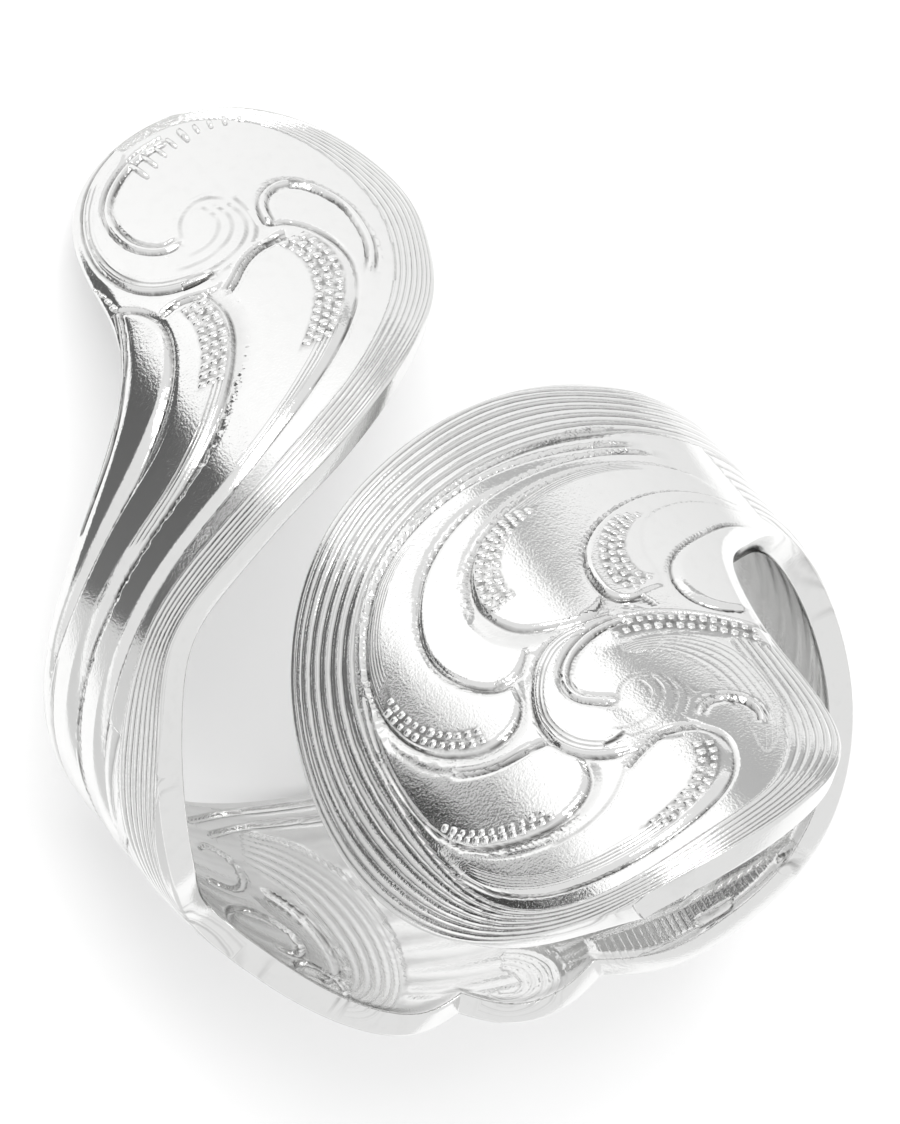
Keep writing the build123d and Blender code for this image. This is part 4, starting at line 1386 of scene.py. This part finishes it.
def operation(kind: str, wire_last: bool = False) -> Callable[..., "Wire"]:
    """Makes a method of Wire that does one kind of arithmetic.

    Args:
        kind: Operation of the Math node.
        wire_last: Whether the wire is the last of the numbers, behind a plain one.

    Returns:
        The method.
    """
    def calculate(wire: "Wire", *others: "Wire | float") -> "Wire":
        """Adds a Math node and gives its result."""
        values = (*others, wire) if wire_last else (wire, *others)
        node = add_node(wire.tree, "ShaderNodeMath", dict(enumerate(values)), operation=kind)
        return Wire(wire.tree, node.outputs[0])
    return calculate


class Wire:
    """A number in a shader that takes part in arithmetic."""

    def __init__(self, tree: bpy.types.NodeTree, socket: bpy.types.NodeSocket) -> None:
        """Keeps the tree that the number belongs to, and the socket it comes from."""
        self.tree = tree
        self.socket = socket

    __add__ = operation("ADD")
    __radd__ = operation("ADD", wire_last=True)
    __sub__ = operation("SUBTRACT")
    __rsub__ = operation("SUBTRACT", wire_last=True)
    __mul__ = operation("MULTIPLY")
    __pow__ = operation("POWER")
    greater = operation("MAXIMUM")
    lesser = operation("MINIMUM")
    size = operation("ABSOLUTE")
    cosine = operation("COSINE")


class Shader:
    """A material's node tree."""

    def __init__(self, name: str) -> None:
        """Starts an empty material.

        Args:
            name: Name of the material.
        """
        self.material = bpy.data.materials.new(name)
        self.material.use_nodes = True
        self.tree = self.material.node_tree
        self.tree.nodes.clear()
        self.node = partial(add_node, self.tree)

    def attribute(self, name: str) -> Wire:
        """A layer of the piece's own mesh."""
        return Wire(self.tree, self.node("ShaderNodeAttribute", attribute_name=name).outputs["Fac"])

    def noise(self, size: float, detail: float) -> Wire:
        """Random mottling on the piece's own coordinates.

        Args:
            size: Size of the mottles, millimetres.
            detail: How many finer octaves are added.

        Returns:
            Numbers about one half.
        """
        place = self.node("ShaderNodeTexCoord").outputs["Object"]
        inputs = {"Vector": place, "Scale": 1.0 / (size * MILLIMETRE), "Detail": detail}
        return Wire(self.tree, self.node("ShaderNodeTexNoise", inputs).outputs["Fac"])

    def finish(self, kind: str, inputs: dict) -> bpy.types.Material:
        """Ends the material in one surface node.

        Args:
            kind: Type of that node.
            inputs: Values or links of its sockets, by name.

        Returns:
            The material.
        """
        surface = self.node(kind, inputs)
        self.node("ShaderNodeOutputMaterial", {"Surface": surface.outputs["BSDF"]})
        return self.material


class Patches(NamedTuple):
    """Random patches in which a mark is stronger or weaker.

    Attributes:
        size: Size of the patches, millimetres.
        contrast: How sharply they end.
        offset: How much of the mark they take away.
        least: Share of the mark's strength that stays everywhere.
    """

    size: float
    contrast: float
    offset: float
    least: float

    def build(self, shader: Shader) -> Wire:
        """Share of the mark's strength at each place."""
        noise = shader.noise(self.size, detail=1.0)
        return (noise * self.contrast - self.offset).greater(self.least).lesser(1.0)


class Marks(NamedTuple):
    """A number for each kind of mark: how strongly it shows, as a share, or how narrow it is."""

    groove: float = 0.0
    outline: float = 0.0
    valleys: float = 0.0
    doubled: float = 0.0
    cuts: float = 0.0
    hatch: float = 0.0
    speck: float = 0.0
    grain: float = 0.0


@dataclass(frozen=True)
class SilverFinish:
    """Polished silver, with shade painted in: darker and duller in its grooves, cuts, reed valleys,
    hatching and along its edges.

    Attributes:
        name: Name of the material.
        metal: Colour of the polished faces.
        recess: Colour of the painted shade in grooves, cuts, reed valleys, hatching and along edges.
        polish: Roughness of the polished faces.
        dullness: Roughness that a groove adds.
        uneven_polish: How much the roughness varies from place to place.
        line_pitch: Spacing of fine lines, millimetres.
        cut_depth: Depth of the cuts, millimetres.
        mottle: Size of the mottles, millimetres.
        grain: Size of the fine grain, millimetres.
        waver: Size of the bends in a drawn line, millimetres.
        line_waver: How far a drawn line strays, millimetres.
        reed_waver: How far a valley between reeds strays, in reeds.
        line_width: Half the width of the painted shade line along an edge, millimetres.
        line_offset: How far outside the edge that line lies, millimetres.
        doubled_at: Where the second, finer line of each reed lies, in reeds.
        cut_strength: How strong the fine lines are, as a share.
        hatching: Where the shade under the hatching is stronger or weaker.
        pressure: Where the painted shade lines along the edges are stronger or weaker.
        sharpness: How narrow the cuts and the valleys are.
        depths: How strongly each mark shows in the relief.
        shades: How strongly each mark darkens the silver: painted shade, except the speck, which is random
            tone.
    """

    name: str = SILVER_SLOT
    metal: tuple[float, float, float, float] = (0.76, 0.76, 0.755, 1.0)
    recess: tuple[float, float, float, float] = (0.1, 0.098, 0.095, 1.0)
    polish: float = 0.1
    dullness: float = 0.2
    uneven_polish: float = 0.06
    line_pitch: float = 0.15
    cut_depth: float = 0.03
    mottle: float = 0.35
    grain: float = 0.07
    waver: float = 0.5
    line_waver: float = 0.04
    reed_waver: float = 0.15
    line_width: float = 0.075
    line_offset: float = 0.02
    doubled_at: float = 0.3
    cut_strength: float = 0.5
    hatching: Patches = Patches(size=0.2, contrast=2.6, offset=0.7, least=0.2)
    pressure: Patches = Patches(size=1.2, contrast=2.4, offset=0.55, least=0.25)
    sharpness: Marks = Marks(cuts=3.0, valleys=6.0, doubled=14.0)
    depths: Marks = Marks(outline=0.6, valleys=0.5, speck=0.09, grain=0.16)
    shades: Marks = Marks(
        groove=0.5, outline=0.95, valleys=0.4, doubled=0.22, cuts=0.7, hatch=0.75, speck=0.12
    )

    def build(self) -> bpy.types.Material:
        """Builds the material."""
        shader = Shader(self.name)
        names = ("across", "hatch", "lines", "groove", "edge", "ink", "reed", "reeded")
        across, hatch, lines, groove, edge, ink, reed, reeded = map(shader.attribute, names)
        sharpness, depths, shades = self.sharpness, self.depths, self.shades
        waver = shader.noise(self.waver, detail=2.0) - 0.5
        speck = shader.noise(self.mottle, detail=3.0) - 0.5
        grain = shader.noise(self.grain, detail=2.0) - 0.5
        cuts = self._cuts(across + waver * self.line_waver, self.line_pitch, sharpness.cuts)
        cuts = lines * cuts * self.cut_strength
        # Painted shade line along each edge, also sunk a little in the relief.
        from_line = (edge + waver * self.line_waver + self.line_offset).size()
        outline = (1.0 - from_line * (1.0 / self.line_width)).greater(0.0)
        outline = ink * self.pressure.build(shader) * outline
        stray = waver * self.reed_waver
        valleys = reeded * self._cuts(reed + stray, 1.0, sharpness.valleys)
        doubled = reeded * self._cuts(reed + self.doubled_at + stray, 1.0, sharpness.doubled)
        drawn = (outline * shades.outline).greater(valleys * shades.valleys)
        drawn = drawn.greater(doubled * shades.doubled)
        hatching = hatch * self.hatching.build(shader) * shades.hatch
        # Painted shade: grooves, edge lines, reed valleys, cuts and the ground under the hatching darken
        # toward the shade colour; the speck adds random tone.
        shade = groove * shades.groove + drawn + cuts * shades.cuts + hatching
        shade = (shade + speck * shades.speck).greater(0.0).lesser(1.0)
        relief = speck * depths.speck + grain * depths.grain - cuts
        relief = relief - outline * depths.outline - valleys * depths.valleys
        # The base colour mixes the painted shade into the metal.
        colour = shader.node(
            "ShaderNodeMix", {"Factor": shade, "A": self.metal, "B": self.recess}, data_type="RGBA"
        )
        bump = shader.node(
            "ShaderNodeBump", {"Height": relief, "Distance": self.cut_depth * MILLIMETRE, "Strength": 1.0}
        )
        return shader.finish("ShaderNodeBsdfPrincipled", {
            "Base Color": colour.outputs["Result"],
            "Metallic": 1.0,
            "Roughness": self.polish + shade * self.dullness + speck * self.uneven_polish,
            "Normal": bump.outputs["Normal"],
        })

    @staticmethod
    def _cuts(distance: Wire, pitch: float, sharpness: float) -> Wire:
        """Narrow cuts at an even spacing: 1 in a cut and 0 between."""
        wave = (distance * (2.0 * math.pi / pitch)).cosine()
        return (wave * 0.5 + 0.5) ** sharpness


def matt_finish(name: str, tone: float | None = None) -> bpy.types.Material:
    """Makes the matt finish of the floor or of a card.

    Args:
        name: Name of the material.
        tone: How pale it is, or None where the mesh's own layer of tones says so.

    Returns:
        The material.
    """
    shader = Shader(name)
    colour = shader.attribute("tone") if tone is None else (tone, tone, tone, 1.0)
    return shader.finish("ShaderNodeBsdfDiffuse", {"Color": colour})


@dataclass(frozen=True)
class Card:
    """A card that lies round the ring, out of the picture, and shows in the silver.

    Attributes:
        name: Name of the card.
        azimuths: Directions from the ring's middle that it lies between, degrees.
        reach: Distances that it lies between, millimetres.
        tones: How pale it is at its first direction, halfway and at its last one.
        height: How high above the floor it lies, millimetres.
        stations: How many directions it has a vertex at.
    """

    name: str
    azimuths: tuple[float, float]
    reach: tuple[float, float]
    tones: tuple[float, float, float]
    height: float = 0.3
    stations: int = 25

    def build(self) -> bpy.types.Object:
        """Builds the card as a sector of a ring."""
        turns = np.radians(np.linspace(*self.azimuths, self.stations))
        out = np.stack([np.cos(turns), np.sin(turns)], axis=-1)
        flat = np.concatenate([out * reach for reach in self.reach])
        places = np.concatenate([flat, np.full((len(flat), 1), self.height)], axis=1) * MILLIMETRE
        mesh = bpy.data.meshes.new(self.name)
        mesh.from_pydata(places.tolist(), [], grid_faces(2, self.stations, 0, False).tolist())
        tones = np.interp(np.linspace(0.0, 1.0, self.stations), (0.0, 0.5, 1.0), self.tones)
        write_layer(mesh, "tone", np.tile(tones, 2))
        mesh.materials.append(matt_finish(self.name))
        card = add_object(self.name, mesh)
        card.visible_camera = False
        card.visible_diffuse = False
        card.visible_shadow = False
        return card


@dataclass
class Studio:
    """Floor, cards, light and camera.

    Attributes:
        aim: Place that the camera looks at, in the strip's own directions, millimetres.
        toward_camera: Direction from there to the camera, in the same directions.
        image_right: Direction that points right in the picture.
        distance: Distance of the camera, millimetres.
        frame_height: Height of the picture at that distance, millimetres.
        sensor: Size of the camera's sensor, millimetres.
        floor_size: Length and width of the floor, metres.
        floor_tone: How pale the floor is.
        world_light: Strength of the room's even light.
        key_energy: Power of the one lamp, watts.
        key_size: Width of the lamp, metres.
        key_place: Where the lamp hangs, metres.
        cards: The cards round the ring.
    """

    aim: tuple[float, float, float] = (0.0, -2.15, 11.605)
    toward_camera: tuple[float, float, float] = (0.8, 0.0, 0.6)
    image_right: tuple[float, float, float] = (-0.38412, -0.7682, 0.51216)
    distance: float = 500.0
    frame_height: float = 1124 / 36
    sensor: float = 36.0
    floor_size: float = 3.0
    floor_tone: float = 0.97
    world_light: float = 0.98
    key_energy: float = 4.0
    key_size: float = 0.4
    key_place: tuple[float, float, float] = (0.5, -0.27, 0.66)
    cards: tuple[Card, ...] = (
        Card("near_card", (9.4, 53.0), (20.0, 66.0), (0.1, 0.13, 0.16)),
        Card("pale_card", (0.0, 19.0), (66.0, 150.0), (0.66, 0.58, 0.5)),
        Card("far_card", (19.0, 62.0), (82.0, 150.0), (0.05, 0.05, 0.05)),
        Card("farthest_card", (6.0, 62.0), (150.0, 400.0), (0.05, 0.05, 0.05)),
        Card("side_card", (53.0, 150.0), (20.0, 66.0), (0.6, 0.64, 0.68)),
        Card("grey_card", (-150.0, -38.0), (58.0, 320.0), (0.5, 0.45, 0.42)),
        Card("front_card", (-100.0, 9.4), (14.0, 56.0), (0.74, 0.86, 0.94)),
    )

    def build(self, frame: RingFrame) -> None:
        """Builds the studio round the ring."""
        self._floor()
        for card in self.cards:
            card.build()
        self._world()
        self._key_light()
        self._camera(frame)

    def _floor(self) -> None:
        """Lays a wide pale floor."""
        half = self.floor_size / 2.0
        corners = [(-half, -half, 0), (half, -half, 0), (half, half, 0), (-half, half, 0)]
        mesh = bpy.data.meshes.new("floor")
        mesh.from_pydata(corners, [], [(0, 1, 2, 3)])
        mesh.materials.append(matt_finish("pale_floor", self.floor_tone))
        add_object("floor", mesh)

    def _world(self) -> None:
        """Fills the room with even white light."""
        world = bpy.data.worlds.new("studio")
        world.use_nodes = True
        background = world.node_tree.nodes["Background"]
        background.inputs["Color"].default_value = (1.0, 1.0, 1.0, 1.0)
        background.inputs["Strength"].default_value = self.world_light
        bpy.context.scene.world = world
        bpy.context.scene.view_settings.view_transform = "Standard"

    def _key_light(self) -> None:
        """Hangs one soft lamp over the ring, turned to the ring's middle."""
        lamp = bpy.data.lights.new("key", "AREA")
        lamp.energy = self.key_energy
        lamp.size = self.key_size
        light = add_object("key", lamp)
        light.location = self.key_place
        light.rotation_euler = Vector(self.key_place).to_track_quat("Z", "Y").to_euler()

    def _camera(self, frame: RingFrame) -> None:
        """Stands the camera where the photograph was taken from."""
        basis = np.stack([frame.start, frame.side, frame.axis])
        back = np.array(self.toward_camera) @ basis
        right = np.array(self.image_right) @ basis
        back /= np.linalg.norm(back)
        right -= right.dot(back) * back
        right /= np.linalg.norm(right)
        up = np.cross(back, right)
        aim = frame.middle + np.array(self.aim) @ basis - frame.middle_height * frame.axis
        lens = bpy.data.cameras.new("camera")
        lens.sensor_width = self.sensor
        lens.lens = self.sensor * self.distance / self.frame_height
        camera = add_object("camera", lens)
        turn = Matrix([list(row) for row in np.stack([right, up, back], axis=-1)]).to_4x4()
        camera.matrix_world = Matrix.Translation(Vector((aim + back * self.distance) * MILLIMETRE)) @ turn
        bpy.context.scene.camera = camera


def dress(piece: bpy.types.Object) -> None:
    """Puts a piece on the ring's body, in place of the solid."""
    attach(piece, "root")
    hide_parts(CAD_NODE)
    logger.info("%s: %d faces", piece.name, len(piece.data.polygons))


def main() -> None:
    """Builds the ring's pieces and the studio round them."""
    logging.basicConfig(level=logging.INFO, format="%(message)s")
    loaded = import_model()
    frame = RingFrame.from_record(loaded["record"])
    Studio().build(frame)
    silver = SilverFinish().build()
    small_end, large_start = Strip.small_end, Strip.large_start
    ornament = [*Band.layers, *SmallDisc.layers, *LargeDisc.layers]
    maker = SkinMaker(Strip(), frame)
    for skin in (
        Skin("small_disc", (0, small_end), step=0.1, columns=150, inner_columns=40, layers=ornament),
        Skin("band", (small_end, large_start), 0.12, 130, 130, layers=ornament, inner_layers=Inside.layers),
        Skin("large_disc", (large_start, None), step=0.09, columns=190, inner_columns=60, layers=ornament),
    ):
        dress(maker.make(skin, silver))
    studs = StudMaker(frame, ornament, silver)
    dress(studs.make("hatch_bars", hatch_rows(ornament)))
    dress(studs.make("tick_marks", [SmallDisc.ticks]))
    dress(studs.make("neck_beads", [SmallDisc.beads]))


if __name__ == "__main__":
    main()
